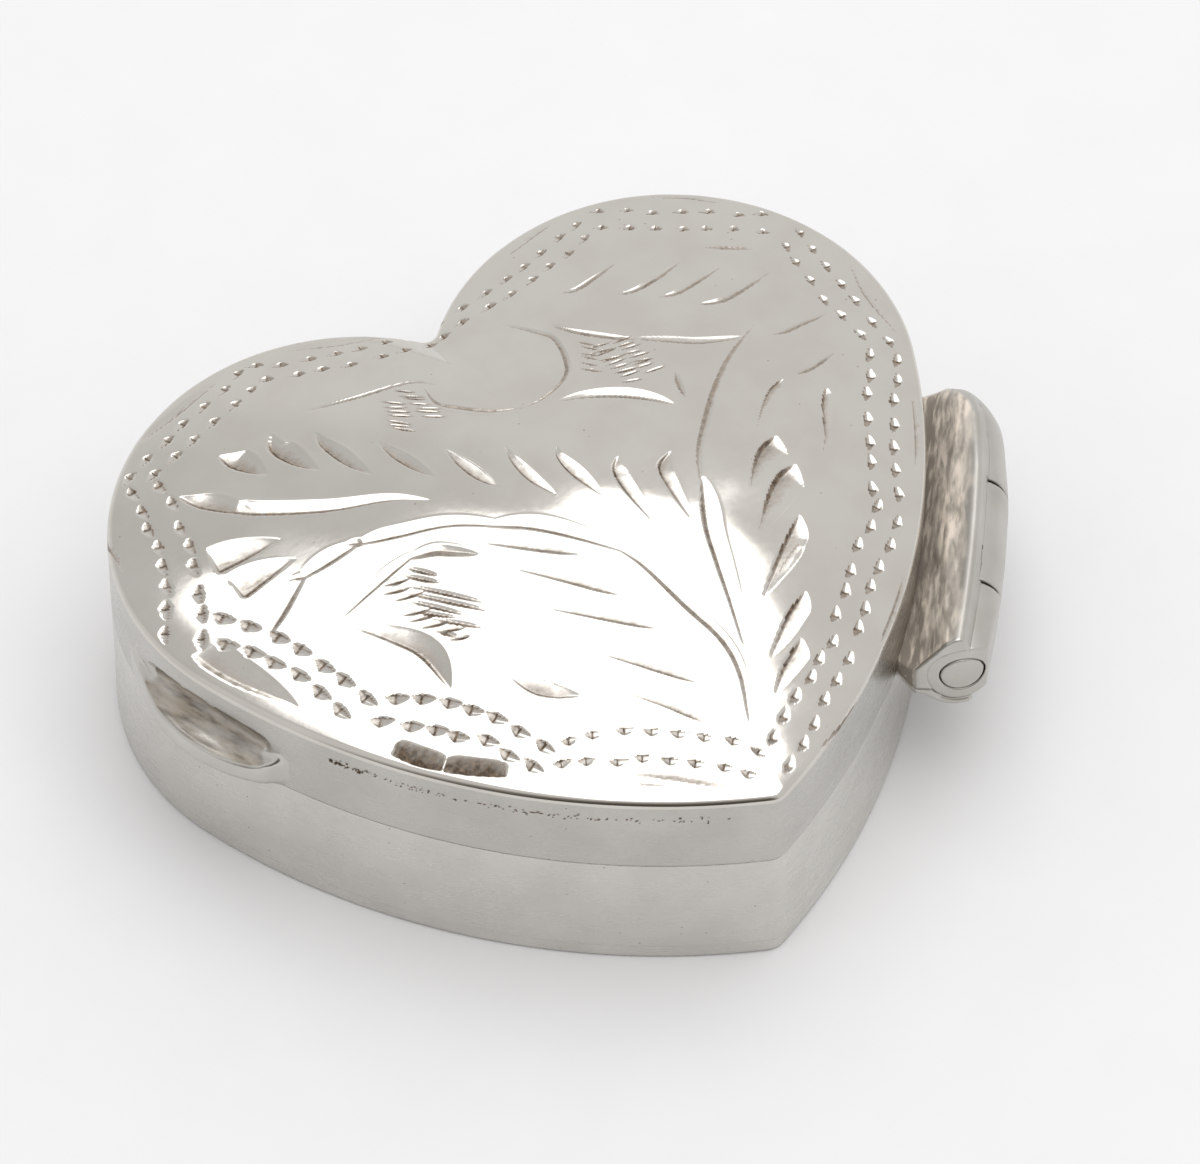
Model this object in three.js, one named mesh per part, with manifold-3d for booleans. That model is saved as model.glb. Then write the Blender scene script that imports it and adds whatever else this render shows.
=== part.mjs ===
// Heart-shaped silver pill box: a soldered base and lid, a three-knuckle hinge and a thumb piece.
// Millimetres, +Z up. The origin is on the underside, midway between the centres of the two round lobes.
// +Y runs from the point of the heart to its cleft, and the hinge is on the +X side.

import * as THREE from 'three';
import { mergeVertices } from 'three/addons/utils/BufferGeometryUtils.js';
import loadManifold from 'manifold-3d';

// Heart outline, seen from above
const LOBE_RADIUS = 9.3;
const LOBE_OFFSET = 7.0; // from the middle to the centre of each lobe
const SIDE_RADIUS = 28.2; // the long arc from a lobe to the point
const TIP_DISTANCE = 19.2; // from the line of the lobe centres to the unrounded point
const TIP_FILLET = 0.9;
const CLEFT_FILLET = 0.6;
const LEAST_FILLET = 0.1; // what is left of the point's rounding inside a thick wall

// Base
const BASE_HEIGHT = 5.67;
const FLOOR_THICKNESS = 0.7;
const WALL_THICKNESS = 0.9;
const BEZEL_THICKNESS = 0.5; // the inner strip that the lid closes over
const BEZEL_STAND = 1.2; // how far it stands above the base wall
const BEZEL_CLEARANCE = 0.12; // from the bezel to the lid wall around it
const RELIEF_MARGIN = 3.0; // the bezel is cut down this far past each end of the hinge
const RELIEF_DEPTH = 4.0; // how far that cut reaches into the box

// Lid
const SEAM_GAP = 0.06;
const LID_WALL_HEIGHT = 2.97;
const TOP_THICKNESS = 0.75;
const DOME_RISE = 2.3;
const DOME_CENTRE_Y = -4.0;
const DOME_ROUND_RADIUS = 12.0; // the dome's level lines turn from the heart into a circle of this size

// Hinge
const HINGE_BEARING = THREE.MathUtils.degToRad(-35.3); // where the hinge touches the side, from +X
const FRONT_KNUCKLE_LENGTH = 3.6; // the lid's knuckle nearer the point
const BASE_KNUCKLE_LENGTH = 4.8;
const BACK_KNUCKLE_LENGTH = 5.0; // the lid's knuckle nearer the cleft
const KNUCKLE_GAP = 0.12;
const KNUCKLE_WALL = 0.57;
const PIN_RADIUS = 0.8;
const PIN_CLEARANCE = 0.05;
const HINGE_UP = 0.83; // the axis above the base wall's edge
const HINGE_OFF_WALL = 0.4; // from the wall to the nearest side of the knuckles
const SEAT_GAP = 0.06; // solder gap between the hinge pieces and their seats
const BEARER_REACH = 0.3; // how far the bearers reach in past the wall's outermost line
const BEARER_FOOT = 0.3; // height of the lid bearer's inner edge
const BEARER_WAIST = 0.25; // least thickness of the lid bearer behind the knuckles
const BEARER_END = THREE.MathUtils.degToRad(70); // where it ends, as an angle round the axis
const RIDGE_RISE = 0.7; // the lid bearer's ridge above the knuckles
const RIDGE_WIDTH = 0.4; // from the axis to the inner edge of the ridge
const GUTTER_THICKNESS = 0.35; // the base bearer under the knuckles
const GUTTER_END = THREE.MathUtils.degToRad(285); // where it ends, as an angle round the axis
const HINGE_BOW = 0.35; // how far the filed outer side falls back towards the hinge's ends
const HINGE_FRONT_ROUND = 1.5; // the rounded outer corner at each end, seen from above
const HINGE_BACK_ROUND = 2.5;
const HINGE_TOP_ROUND = 2.7; // the rounded top of the back end, seen from the side

// Thumb piece
const THUMB_BEARING = THREE.MathUtils.degToRad(204); // from the left lobe's centre
const THUMB_SHIFT = 0.2; // its middle past that bearing, towards the point
const THUMB_LENGTH = 9.0; // before the wall trims its ends
const THUMB_BOW_RADIUS = 5.3; // the lip's edge, seen from above
const THUMB_OUT = 1.0;
const THUMB_UNDER = 0.5; // the flat part of its underside, out from the wall
const THUMB_LIFT = 0.05; // its underside above the lid wall's edge
const THUMB_HEIGHT = 2.5;
const THUMB_LIP_HEIGHT = 1.2; // the lip's upper edge above the underside
const THUMB_LIP_THICKNESS = 0.4;
const THUMB_BACK = 0.1; // the back plate's thickness where the lobe touches it

// Facets
const TIP_STEPS = 6;
const SIDE_STEPS = 14;
const LOBE_STEPS = 28;
const CLEFT_STEPS = 6;
const DOME_RINGS = 7;
const ROUND_SEGMENTS = 20;
const CURVE_SEGMENTS = 6;

// Heights and radii that follow from the sizes above
const lidBottom = BASE_HEIGHT + SEAM_GAP;
const lidWallTop = lidBottom + LID_WALL_HEIGHT;
const rimHeight = lidWallTop + TOP_THICKNESS;
const lidWallThickness = WALL_THICKNESS - BEZEL_CLEARANCE;
const boreRadius = PIN_RADIUS + PIN_CLEARANCE;
const knuckleRadius = boreRadius + KNUCKLE_WALL;
const seatRadius = knuckleRadius + SEAT_GAP;
const hingeAxis = new THREE.Vector2(HINGE_OFF_WALL + knuckleRadius, BASE_HEIGHT + HINGE_UP);
const hingeLength = FRONT_KNUCKLE_LENGTH + BASE_KNUCKLE_LENGTH + BACK_KNUCKLE_LENGTH + 2 * KNUCKLE_GAP;
const ridgeHeight = hingeAxis.y + knuckleRadius + RIDGE_RISE;

// The side arc touches the lobe at sideAngle below the X axis and runs through the unrounded point
const sideReach = SIDE_RADIUS - LOBE_RADIUS;
const tipSpan = Math.hypot(LOBE_OFFSET, TIP_DISTANCE);
const tipTerm = (SIDE_RADIUS ** 2 - sideReach ** 2 - tipSpan ** 2) / (2 * sideReach);
const sideAngle = Math.atan2(LOBE_OFFSET, TIP_DISTANCE) + Math.asin(tipTerm / tipSpan);
const lobeCentre = new THREE.Vector2(LOBE_OFFSET, 0);
const sideCentre = new THREE.Vector2(
  LOBE_OFFSET - sideReach * Math.cos(sideAngle),
  sideReach * Math.sin(sideAngle),
);
const cleftCentre = new THREE.Vector2(0, Math.sqrt((LOBE_RADIUS + CLEFT_FILLET) ** 2 - LOBE_OFFSET ** 2));

const wasm = await loadManifold();
wasm.setup();

const silver = { colour: 0xb9b8b3, roughness: 0.24, metalness: 1 };
const brightSilver = { colour: 0xc6c5c1, roughness: 0.18, metalness: 1 };
const darkSilver = { colour: 0x8f8b83, roughness: 0.36, metalness: 1 };

function part(name, geometry, finish) {
  const material = new THREE.MeshStandardMaterial({
    color: finish.colour,
    roughness: finish.roughness,
    metalness: finish.metalness,
  });
  const mesh = new THREE.Mesh(geometry, material);
  mesh.name = name;
  return mesh;
}

// Points on an arc, without its last one, which the next arc starts with
function arc(centre, radius, start, end, steps) {
  const points = [];
  for (let i = 0; i < steps; i += 1) {
    const angle = start + ((end - start) * i) / steps;
    points.push(new THREE.Vector2(
      centre.x + radius * Math.cos(angle),
      centre.y + radius * Math.sin(angle),
    ));
  }
  return points;
}

function mirrored(centre) {
  return new THREE.Vector2(-centre.x, centre.y);
}

// The heart's outline moved in by inset, anticlockwise from the left end of the rounded point
function heartPoints(inset) {
  const side = SIDE_RADIUS - inset;
  const lobe = LOBE_RADIUS - inset;
  const fillet = Math.max(TIP_FILLET - inset, LEAST_FILLET);
  const tipCentre = new THREE.Vector2(
    0,
    sideCentre.y - Math.sqrt((side - fillet) ** 2 - sideCentre.x ** 2),
  );
  const tipAngle = Math.atan2(tipCentre.y - sideCentre.y, -sideCentre.x);
  const cleftAngle = Math.atan2(cleftCentre.y, -LOBE_OFFSET);
  return [
    ...arc(tipCentre, fillet, -Math.PI - tipAngle, tipAngle, TIP_STEPS),
    ...arc(sideCentre, side, tipAngle, -sideAngle, SIDE_STEPS),
    ...arc(lobeCentre, lobe, -sideAngle, cleftAngle, LOBE_STEPS),
    ...arc(cleftCentre, CLEFT_FILLET + inset, cleftAngle - Math.PI, -cleftAngle, CLEFT_STEPS),
    ...arc(mirrored(lobeCentre), lobe, Math.PI - cleftAngle, Math.PI + sideAngle, LOBE_STEPS),
    ...arc(mirrored(sideCentre), side, Math.PI + sideAngle, Math.PI - tipAngle, SIDE_STEPS),
  ];
}

function heartPlate(inset, bottom, top) {
  const shape = new THREE.Shape(heartPoints(inset));
  const geometry = new THREE.ExtrudeGeometry(shape, { depth: top - bottom, bevelEnabled: false });
  return geometry.translate(0, 0, bottom);
}

function heartRing(outerInset, thickness, bottom, top) {
  const shape = new THREE.Shape(heartPoints(outerInset));
  shape.holes.push(new THREE.Path(heartPoints(outerInset + thickness)));
  const geometry = new THREE.ExtrudeGeometry(shape, { depth: top - bottom, bevelEnabled: false });
  return geometry.translate(0, 0, bottom);
}

// A geometry as a closed solid for cutting, in the frame that matrix takes it to
function solid(geometry, matrix = new THREE.Matrix4()) {
  const bare = geometry.clone().applyMatrix4(matrix);
  bare.deleteAttribute('normal');
  bare.deleteAttribute('uv');
  const merged = mergeVertices(bare);
  return new wasm.Manifold(new wasm.Mesh({
    numProp: 3,
    vertProperties: new Float32Array(merged.attributes.position.array),
    triVerts: new Uint32Array(merged.index.array),
  }));
}

function cutGeometry(manifold) {
  const mesh = manifold.getMesh();
  const geometry = new THREE.BufferGeometry();
  geometry.setAttribute('position', new THREE.BufferAttribute(mesh.vertProperties, mesh.numProp));
  geometry.setIndex(new THREE.BufferAttribute(mesh.triVerts, 1));
  geometry.computeVertexNormals();
  return geometry;
}

// A section drawn in the local X and Z, run along the local Y from start
function alongY(shape, start, length, curveSegments) {
  const geometry = new THREE.ExtrudeGeometry(shape, { depth: length, bevelEnabled: false, curveSegments });
  geometry.rotateX(Math.PI / 2);
  return geometry.translate(0, start + length, 0);
}

// A group standing on a round stretch of the outline, its local +X pointing straight out of the wall
function wallGroup(centre, radius, bearing) {
  const group = new THREE.Group();
  group.position.set(centre.x + radius * Math.cos(bearing), centre.y + radius * Math.sin(bearing), 0);
  group.rotation.z = bearing;
  group.updateMatrixWorld();
  return group;
}

// The whole heart as a cutting block with room for solder, in a wall group's frame
function heartBlock(group) {
  const block = heartPlate(-SEAT_GAP, -BASE_HEIGHT, rimHeight + DOME_RISE);
  return solid(block, group.matrixWorld.clone().invert());
}

// Rings of the dome from its rim to its top: level lines that start as the heart and end as a circle
function domeRings(inset, bottom) {
  const centre = new THREE.Vector2(0, DOME_CENTRE_Y);
  const rings = [];
  for (let k = 0; k < DOME_RINGS; k += 1) {
    const share = 1 - k / DOME_RINGS;
    const height = bottom + DOME_RISE * (1 - share ** 2);
    rings.push(heartPoints(inset).map((point) => {
      const ray = point.clone().sub(centre);
      const heartShare = share ** 2 * (2 - share ** 2);
      const reach = THREE.MathUtils.lerp(DOME_ROUND_RADIUS, ray.length(), heartShare);
      ray.setLength(share * reach).add(centre);
      return new THREE.Vector3(ray.x, ray.y, height);
    }));
  }
  return rings;
}

// The lid's top sheet: a shell of even height between two domes, with a flat edge on the lid wall
function domedSheet() {
  const outer = domeRings(0, rimHeight);
  const edge = outer[0].map((point) => point.clone().setZ(lidWallTop));
  const inner = domeRings(lidWallThickness, lidWallTop);
  const rings = [...inner.reverse(), edge, ...outer];
  const count = edge.length;
  const positions = rings.flat().flatMap((point) => point.toArray());
  const indices = [];
  for (let r = 0; r + 1 < rings.length; r += 1) {
    for (let i = 0; i < count; i += 1) {
      const a = r * count + i;
      const b = r * count + ((i + 1) % count);
      indices.push(a, b, a + count, b, b + count, a + count);
    }
  }
  const underside = rings.length * count;
  const summit = underside + 1;
  positions.push(0, DOME_CENTRE_Y, lidWallTop + DOME_RISE);
  positions.push(0, DOME_CENTRE_Y, rimHeight + DOME_RISE);
  const last = (rings.length - 1) * count;
  for (let i = 0; i < count; i += 1) {
    const next = (i + 1) % count;
    indices.push(next, i, underside);
    indices.push(last + i, last + next, summit);
  }
  const geometry = new THREE.BufferGeometry();
  geometry.setAttribute('position', new THREE.Float32BufferAttribute(positions, 3));
  geometry.setIndex(indices);
  geometry.computeVertexNormals();
  return geometry;
}

// The bezel stands up inside the lid wall, but is cut down where the lid wall swings in past it
function bezel(hingeGroup) {
  const ring = heartRing(WALL_THICKNESS, BEZEL_THICKNESS, FLOOR_THICKNESS, BASE_HEIGHT + BEZEL_STAND);
  const length = hingeLength + 2 * RELIEF_MARGIN;
  const height = 2 * BEZEL_STAND;
  const cut = new THREE.BoxGeometry(2 * RELIEF_DEPTH, length, height);
  cut.translate(0, 0, BASE_HEIGHT + height / 2);
  return cutGeometry(solid(ring).subtract(solid(cut, hingeGroup.matrixWorld)));
}

function knuckle(start, length) {
  const shape = new THREE.Shape();
  shape.absarc(hingeAxis.x, hingeAxis.y, knuckleRadius, 0, 2 * Math.PI, false);
  const bore = new THREE.Path();
  bore.absarc(hingeAxis.x, hingeAxis.y, boreRadius, 0, 2 * Math.PI, false);
  shape.holes.push(bore);
  return alongY(shape, start, length, ROUND_SEGMENTS);
}

function hingePin() {
  const shape = new THREE.Shape();
  shape.absarc(hingeAxis.x, hingeAxis.y, PIN_RADIUS, 0, 2 * Math.PI, false);
  return alongY(shape, -hingeLength / 2, hingeLength, ROUND_SEGMENTS);
}

// The hinge's filed outline, seen from above: a bowed outer side between two rounded corners
function hingePlan() {
  const half = hingeLength / 2;
  const outer = hingeAxis.x + knuckleRadius;
  const end = outer - HINGE_BOW;
  const plan = new THREE.Shape();
  plan.moveTo(-hingeLength, -half);
  plan.lineTo(end - HINGE_FRONT_ROUND, -half);
  plan.absarc(end - HINGE_FRONT_ROUND, HINGE_FRONT_ROUND - half, HINGE_FRONT_ROUND, -Math.PI / 2, 0, false);
  plan.quadraticCurveTo(outer + HINGE_BOW, 0, end, half - HINGE_BACK_ROUND);
  plan.absarc(end - HINGE_BACK_ROUND, half - HINGE_BACK_ROUND, HINGE_BACK_ROUND, 0, Math.PI / 2, false);
  plan.lineTo(-hingeLength, half);
  return new THREE.ExtrudeGeometry(plan, {
    depth: rimHeight,
    bevelEnabled: false,
    curveSegments: CURVE_SEGMENTS,
  });
}

// The hinge's outline from the side, drawn in the local Y and Z, with its back end rounded on top
function hingeProfile() {
  const half = hingeLength / 2;
  const roundStart = ridgeHeight - HINGE_TOP_ROUND;
  const profile = new THREE.Shape();
  profile.moveTo(-half, 0);
  profile.lineTo(half, 0);
  profile.lineTo(half, roundStart);
  profile.absarc(half - HINGE_TOP_ROUND, roundStart, HINGE_TOP_ROUND, 0, Math.PI / 2, false);
  profile.lineTo(-half, ridgeHeight);
  const block = new THREE.ExtrudeGeometry(profile, {
    depth: 2 * hingeLength,
    bevelEnabled: false,
    curveSegments: CURVE_SEGMENTS,
  });
  block.rotateX(Math.PI / 2).rotateZ(Math.PI / 2);
  return block.translate(-hingeLength, 0, 0);
}

// A hinge piece trimmed by the box wall and by the filed outlines of the hinge
function trimmed(geometry, group) {
  const filed = solid(geometry).intersect(solid(hingePlan())).intersect(solid(hingeProfile()));
  return cutGeometry(filed.subtract(heartBlock(group)));
}

// The angle round the hinge axis, on its wall side, where the seat meets a level face
function seatAngle(level) {
  return Math.PI - Math.asin((level - hingeAxis.y) / seatRadius);
}

// The lid's bearer: a steep flank beside the wall, a rounded ridge on top and a seat over the knuckles
function lidBearer(group) {
  const start = seatAngle(lidBottom);
  const waist = seatRadius + BEARER_WAIST;
  const flankAngle = (3 * Math.PI) / 4;
  const endX = hingeAxis.x + seatRadius * Math.cos(BEARER_END);
  const shape = new THREE.Shape();
  shape.moveTo(-BEARER_REACH, lidBottom);
  shape.lineTo(hingeAxis.x + seatRadius * Math.cos(start), lidBottom);
  shape.absarc(hingeAxis.x, hingeAxis.y, seatRadius, start, BEARER_END, true);
  shape.quadraticCurveTo(endX, ridgeHeight, hingeAxis.x, ridgeHeight);
  shape.lineTo(hingeAxis.x - RIDGE_WIDTH, ridgeHeight);
  shape.lineTo(
    hingeAxis.x + waist * Math.cos(flankAngle),
    hingeAxis.y + waist * Math.sin(flankAngle),
  );
  shape.lineTo(hingeAxis.x - waist, hingeAxis.y);
  shape.lineTo(-BEARER_REACH, lidBottom + BEARER_FOOT);
  return trimmed(alongY(shape, -hingeLength / 2, hingeLength, CURVE_SEGMENTS), group);
}

// The base's bearer: a thin gutter that starts on the wall and passes under the knuckles
function baseBearer(group) {
  const start = seatAngle(BASE_HEIGHT);
  const outer = seatRadius + GUTTER_THICKNESS;
  const underside = BASE_HEIGHT - GUTTER_THICKNESS;
  const join = Math.PI - Math.asin((underside - hingeAxis.y) / outer);
  const shape = new THREE.Shape();
  shape.moveTo(-BEARER_REACH, underside);
  shape.lineTo(hingeAxis.x + outer * Math.cos(join), underside);
  shape.absarc(hingeAxis.x, hingeAxis.y, outer, join, GUTTER_END, false);
  shape.absarc(hingeAxis.x, hingeAxis.y, seatRadius, GUTTER_END, start, true);
  shape.lineTo(-BEARER_REACH, BASE_HEIGHT);
  return trimmed(alongY(shape, -hingeLength / 2, hingeLength, CURVE_SEGMENTS), group);
}

// A crescent soldered on the lid wall, scooped on top so that a thumb nail lifts it
function thumbPiece(group) {
  const half = THUMB_LENGTH / 2;
  const bottom = lidBottom + THUMB_LIFT;
  const lip = bottom + THUMB_LIP_HEIGHT;
  const section = new THREE.Shape();
  section.moveTo(-THUMB_LENGTH, bottom);
  section.lineTo(THUMB_UNDER, bottom);
  section.quadraticCurveTo(THUMB_OUT, bottom, THUMB_OUT, lip - THUMB_LIP_THICKNESS / 2);
  section.quadraticCurveTo(THUMB_OUT, lip, THUMB_OUT - THUMB_LIP_THICKNESS / 2, lip);
  section.quadraticCurveTo(THUMB_BACK, lip - THUMB_LIP_THICKNESS, THUMB_BACK, bottom + THUMB_HEIGHT);
  section.lineTo(-THUMB_LENGTH, bottom + THUMB_HEIGHT);
  const bowAngle = Math.asin(half / THUMB_BOW_RADIUS);
  const plan = new THREE.Shape();
  plan.absarc(THUMB_OUT - THUMB_BOW_RADIUS, THUMB_SHIFT, THUMB_BOW_RADIUS, -bowAngle, bowAngle, false);
  const block = new THREE.ExtrudeGeometry(plan, {
    depth: rimHeight,
    bevelEnabled: false,
    curveSegments: CURVE_SEGMENTS,
  });
  const bar = alongY(section, -THUMB_LENGTH, 2 * THUMB_LENGTH, CURVE_SEGMENTS);
  return cutGeometry(solid(bar).intersect(solid(block)).subtract(heartBlock(group)));
}

const hinge = wallGroup(sideCentre, SIDE_RADIUS, HINGE_BEARING);
const thumb = wallGroup(mirrored(lobeCentre), LOBE_RADIUS, THUMB_BEARING);
const frontStart = -hingeLength / 2;
const baseStart = frontStart + FRONT_KNUCKLE_LENGTH + KNUCKLE_GAP;
const backStart = baseStart + BASE_KNUCKLE_LENGTH + KNUCKLE_GAP;
const frontKnuckle = knuckle(frontStart, FRONT_KNUCKLE_LENGTH);
const baseKnuckle = knuckle(baseStart, BASE_KNUCKLE_LENGTH);
const backKnuckle = knuckle(backStart, BACK_KNUCKLE_LENGTH);

const base = new THREE.Group();
base.add(part('base_floor', heartPlate(0, 0, FLOOR_THICKNESS), silver));
base.add(part('base_wall', heartRing(0, WALL_THICKNESS, FLOOR_THICKNESS, BASE_HEIGHT), silver));
base.add(part('base_bezel', bezel(hinge), brightSilver));

const lid = new THREE.Group();
lid.add(part('lid_wall', heartRing(0, lidWallThickness, lidBottom, lidWallTop), silver));
lid.add(part('lid_top', domedSheet(), brightSilver));

hinge.add(part('base_hinge_bearer', baseBearer(hinge), silver));
hinge.add(part('lid_hinge_bearer', lidBearer(hinge), darkSilver));
hinge.add(part('lid_knuckle_front', trimmed(frontKnuckle, hinge), silver));
hinge.add(part('base_knuckle', trimmed(baseKnuckle, hinge), silver));
hinge.add(part('lid_knuckle_back', trimmed(backKnuckle, hinge), silver));
hinge.add(part('hinge_pin', trimmed(hingePin(), hinge), brightSilver));

thumb.add(part('thumb_piece', thumbPiece(thumb), darkSilver));

const box = new THREE.Group();
box.add(base, lid, hinge, thumb);

export default box;
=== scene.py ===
# Looks of the heart-shaped silver pill box: engraved lid, walls, hinge, thumb piece and studio.
# Sizes are in millimetres in the part's own frame until a mesh is made, which is in metres.

import math
from collections import namedtuple

import bpy
import numpy as np
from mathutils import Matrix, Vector


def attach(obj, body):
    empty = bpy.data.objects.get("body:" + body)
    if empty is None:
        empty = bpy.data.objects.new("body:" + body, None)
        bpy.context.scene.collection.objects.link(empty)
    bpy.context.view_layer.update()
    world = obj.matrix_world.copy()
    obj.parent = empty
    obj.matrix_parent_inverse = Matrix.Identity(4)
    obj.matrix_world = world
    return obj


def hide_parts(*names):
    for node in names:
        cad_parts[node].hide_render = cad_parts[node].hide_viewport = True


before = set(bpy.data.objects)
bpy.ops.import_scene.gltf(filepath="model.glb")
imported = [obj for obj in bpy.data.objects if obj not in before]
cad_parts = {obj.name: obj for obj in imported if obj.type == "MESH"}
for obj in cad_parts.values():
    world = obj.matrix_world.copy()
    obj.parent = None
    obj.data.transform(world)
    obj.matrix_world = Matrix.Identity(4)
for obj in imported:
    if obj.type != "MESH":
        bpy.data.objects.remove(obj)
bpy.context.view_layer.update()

MM = 0.001
SEED = 7
TINY = 1e-6

# Heart outline
LOBE_RADIUS = 9.3
LOBE_OFFSET = 7.0
SIDE_RADIUS = 28.2
TIP_DISTANCE = 19.2
TIP_FILLET = 0.9
CLEFT_FILLET = 0.6
LEAST_FILLET = 0.1

# Heights and thicknesses of the base and the lid
FLOOR_THICKNESS = 0.7
BASE_HEIGHT = 5.7
WALL_THICKNESS = 0.9
BEZEL_THICKNESS = 0.5
BEZEL_TOP = 6.87
RELIEF_HALF = 9.82  # the bezel is cut down this far to both sides of the hinge's middle
RELIEF_DEPTH = 4.0
RELIEF_RUN = 0.3
LID_BOTTOM = 5.73
LID_WALL_TOP = 8.7
LID_WALL_THICKNESS = 0.78
RIM_HEIGHT = 9.45
DOME_RISE = 2.3
DOME_CENTRE = np.array((0.0, -4.0))
DOME_ROUND_RADIUS = 12.0

# Worn edges
FOOT_ROUND = 0.18
SEAM_ROUND = 0.03
FLUSH = 0.003  # the lid wall's strip covers the side of the lid's rim by this much
RIM_ROUND = 0.24
INNER_ROUND = 0.1
CRISP = 0.01

# Hinge, in a frame whose X points out of the wall, Y along the hinge to its back end, and Z up
HINGE_BEARING = math.radians(-35.3)
HINGE_AXIS = (1.82, 6.5)
HINGE_HALF = 6.82
KNUCKLE_RADIUS = 1.37
BORE_RADIUS = 0.85
PIN_RADIUS = 0.8
SEAT_RADIUS = 1.44
SOLDERED_SEAT = 1.3  # where a bearer and a tube are one piece, they overlap
FRONT_KNUCKLE = (-6.82, -3.22)
BASE_KNUCKLE = (-3.1, 1.7)
BACK_KNUCKLE = (1.82, 6.82)
HINGE_REACH = 3.24
HINGE_BOW = 0.43
BOW_MIDDLE = 1.0
RIDGE_BOW = 0.3
FLANK = ((-0.2, 6.4), (0.93, 7.88))
RIDGE_RISE = ((0.93, 7.88), (2.0, 8.55))
RIDGE_FALL = ((2.0, 8.55), (2.4, 7.75))
RIDGE_OUTER = 2.5
RIDGE_ROUND = 0.3
FOOT_SLOPE = ((-1.2, 6.05), (0.3, 6.15))
FOOT_END = (0.15, -6.9)
FOOT_RECESS = 1.2  # how fast the foot's end falls back towards the wall
TROUGH_ROUND = 0.5
KNUCKLE_EDGE = 0.05
FILED_EDGE = 0.06
BACK_EDGE = 0.45
BACK_EDGE_RUN = (1.0, 4.0)
GUTTER_THICKNESS = 0.35
GUTTER_END = math.radians(285)
GUTTER_ROUND = 0.15
SOLDER_DEPTH = 0.05

# The hinge's two ends are filed to parts of ellipsoids: centre and half axes
FRONT_END = ((0.6, -5.4, 5.5), (2.75, 1.45, 6.5))
BACK_END = ((0.4, 2.7, 5.9), (2.85, 4.44, 3.3))

# Thumb piece, in a frame whose X points out of the left lobe and Y to the point of the heart
THUMB_BEARING = math.radians(204)
THUMB_BOW_RADIUS = 6.1
THUMB_SHIFT = 0.35
THUMB_OUT = 1.03
THUMB_BOTTOM = 5.78
THUMB_TOP = 7.25
THUMB_NOSE = 3.65
NOSE_ROUND = 1.0
THUMB_UNDER_ROUND = 0.5
THUMB_TOP_ROUND = 0.2
LIP_ROUND = 0.26
SCOOP_CENTRE = (0.75, 7.72)
SCOOP_REACH = (1.08, 0.78)
SCOOP_TILT = 0.068
SCOOP_END = (2.2, 1.2)  # where the round near end starts, and its length
THUMB_FILLET = 0.35
INLAY_DEPTH = 0.6
INLAY_HALF = 4.6
INLAY_LEVEL = 7.2
INLAY_RISE = 1.45
INLAY_PROUD = 0.006
INLAY_FALL = 0.02
INLAY_RUN = (0.1, 0.8)  # how far from the scoop the inlay's face dips below the wall's
SCOOP_ROOM = 0.06  # the wall is cut this much wider than the scoop

# Mesh fineness
LID_SPACING = 0.064
LID_RINGS = 240
RIM_RINGS = 14
RIM_SHARE = 0.965  # where the lid's rounded rim starts
INNER_RINGS = 40
MIDDLE_SHARE = 0.004  # of the small ring that closes a plate or dome in its middle
WALL_SPACING = 0.12
LID_BAND_SPACING = 0.06
PROFILE_STEP = 0.07
FIELD_STEP = 0.06
SIDE_SWEEP = 0.85
LOBE_SWEEP = 2.7
FILLET_STEPS = 28
ROUND_STEPS = 6

rng = np.random.default_rng(SEED)


def arc(centre, radius, start, end, steps):
    angles = np.linspace(start, end, steps, endpoint=False)
    return np.column_stack((centre[0] + radius * np.cos(angles), centre[1] + radius * np.sin(angles)))


def side_arc():
    """The side arc's centre on the right and the angle below the X axis where it meets the lobe."""
    reach = SIDE_RADIUS - LOBE_RADIUS
    span = math.hypot(LOBE_OFFSET, TIP_DISTANCE)
    term = (SIDE_RADIUS ** 2 - reach ** 2 - span ** 2) / (2 * reach)
    angle = math.atan2(LOBE_OFFSET, TIP_DISTANCE) + math.asin(term / span)
    return np.array((LOBE_OFFSET - reach * math.cos(angle), reach * math.sin(angle))), angle


SIDE_CENTRE, SIDE_ANGLE = side_arc()


def heart(inset, spacing):
    """The outline moved in by inset, anticlockwise from the point. Spacing alone sets its even count."""
    side = SIDE_RADIUS - inset
    lobe = LOBE_RADIUS - inset
    fillet = max(TIP_FILLET - inset, LEAST_FILLET)
    tip = (0, SIDE_CENTRE[1] - math.sqrt((side - fillet) ** 2 - SIDE_CENTRE[0] ** 2))
    tip_angle = math.atan2(tip[1] - SIDE_CENTRE[1], -SIDE_CENTRE[0])
    cleft = (0, math.sqrt((LOBE_RADIUS + CLEFT_FILLET) ** 2 - LOBE_OFFSET ** 2))
    cleft_angle = math.atan2(cleft[1], -LOBE_OFFSET)
    mirrored_side = (-SIDE_CENTRE[0], SIDE_CENTRE[1])
    side_steps = int(SIDE_SWEEP * SIDE_RADIUS / spacing)
    lobe_steps = int(LOBE_SWEEP * LOBE_RADIUS / spacing)
    return np.vstack((
        arc(tip, fillet, -math.pi - tip_angle, tip_angle, FILLET_STEPS),
        arc(SIDE_CENTRE, side, tip_angle, -SIDE_ANGLE, side_steps),
        arc((LOBE_OFFSET, 0), lobe, -SIDE_ANGLE, cleft_angle, lobe_steps),
        arc(cleft, CLEFT_FILLET + inset, cleft_angle - math.pi, -cleft_angle, FILLET_STEPS),
        arc((-LOBE_OFFSET, 0), lobe, math.pi - cleft_angle, math.pi + SIDE_ANGLE, lobe_steps),
        arc(mirrored_side, side, math.pi + SIDE_ANGLE, math.pi - tip_angle, side_steps),
    ))


def at_height(outline, height):
    return np.column_stack((outline, np.full(len(outline), height)))


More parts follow.
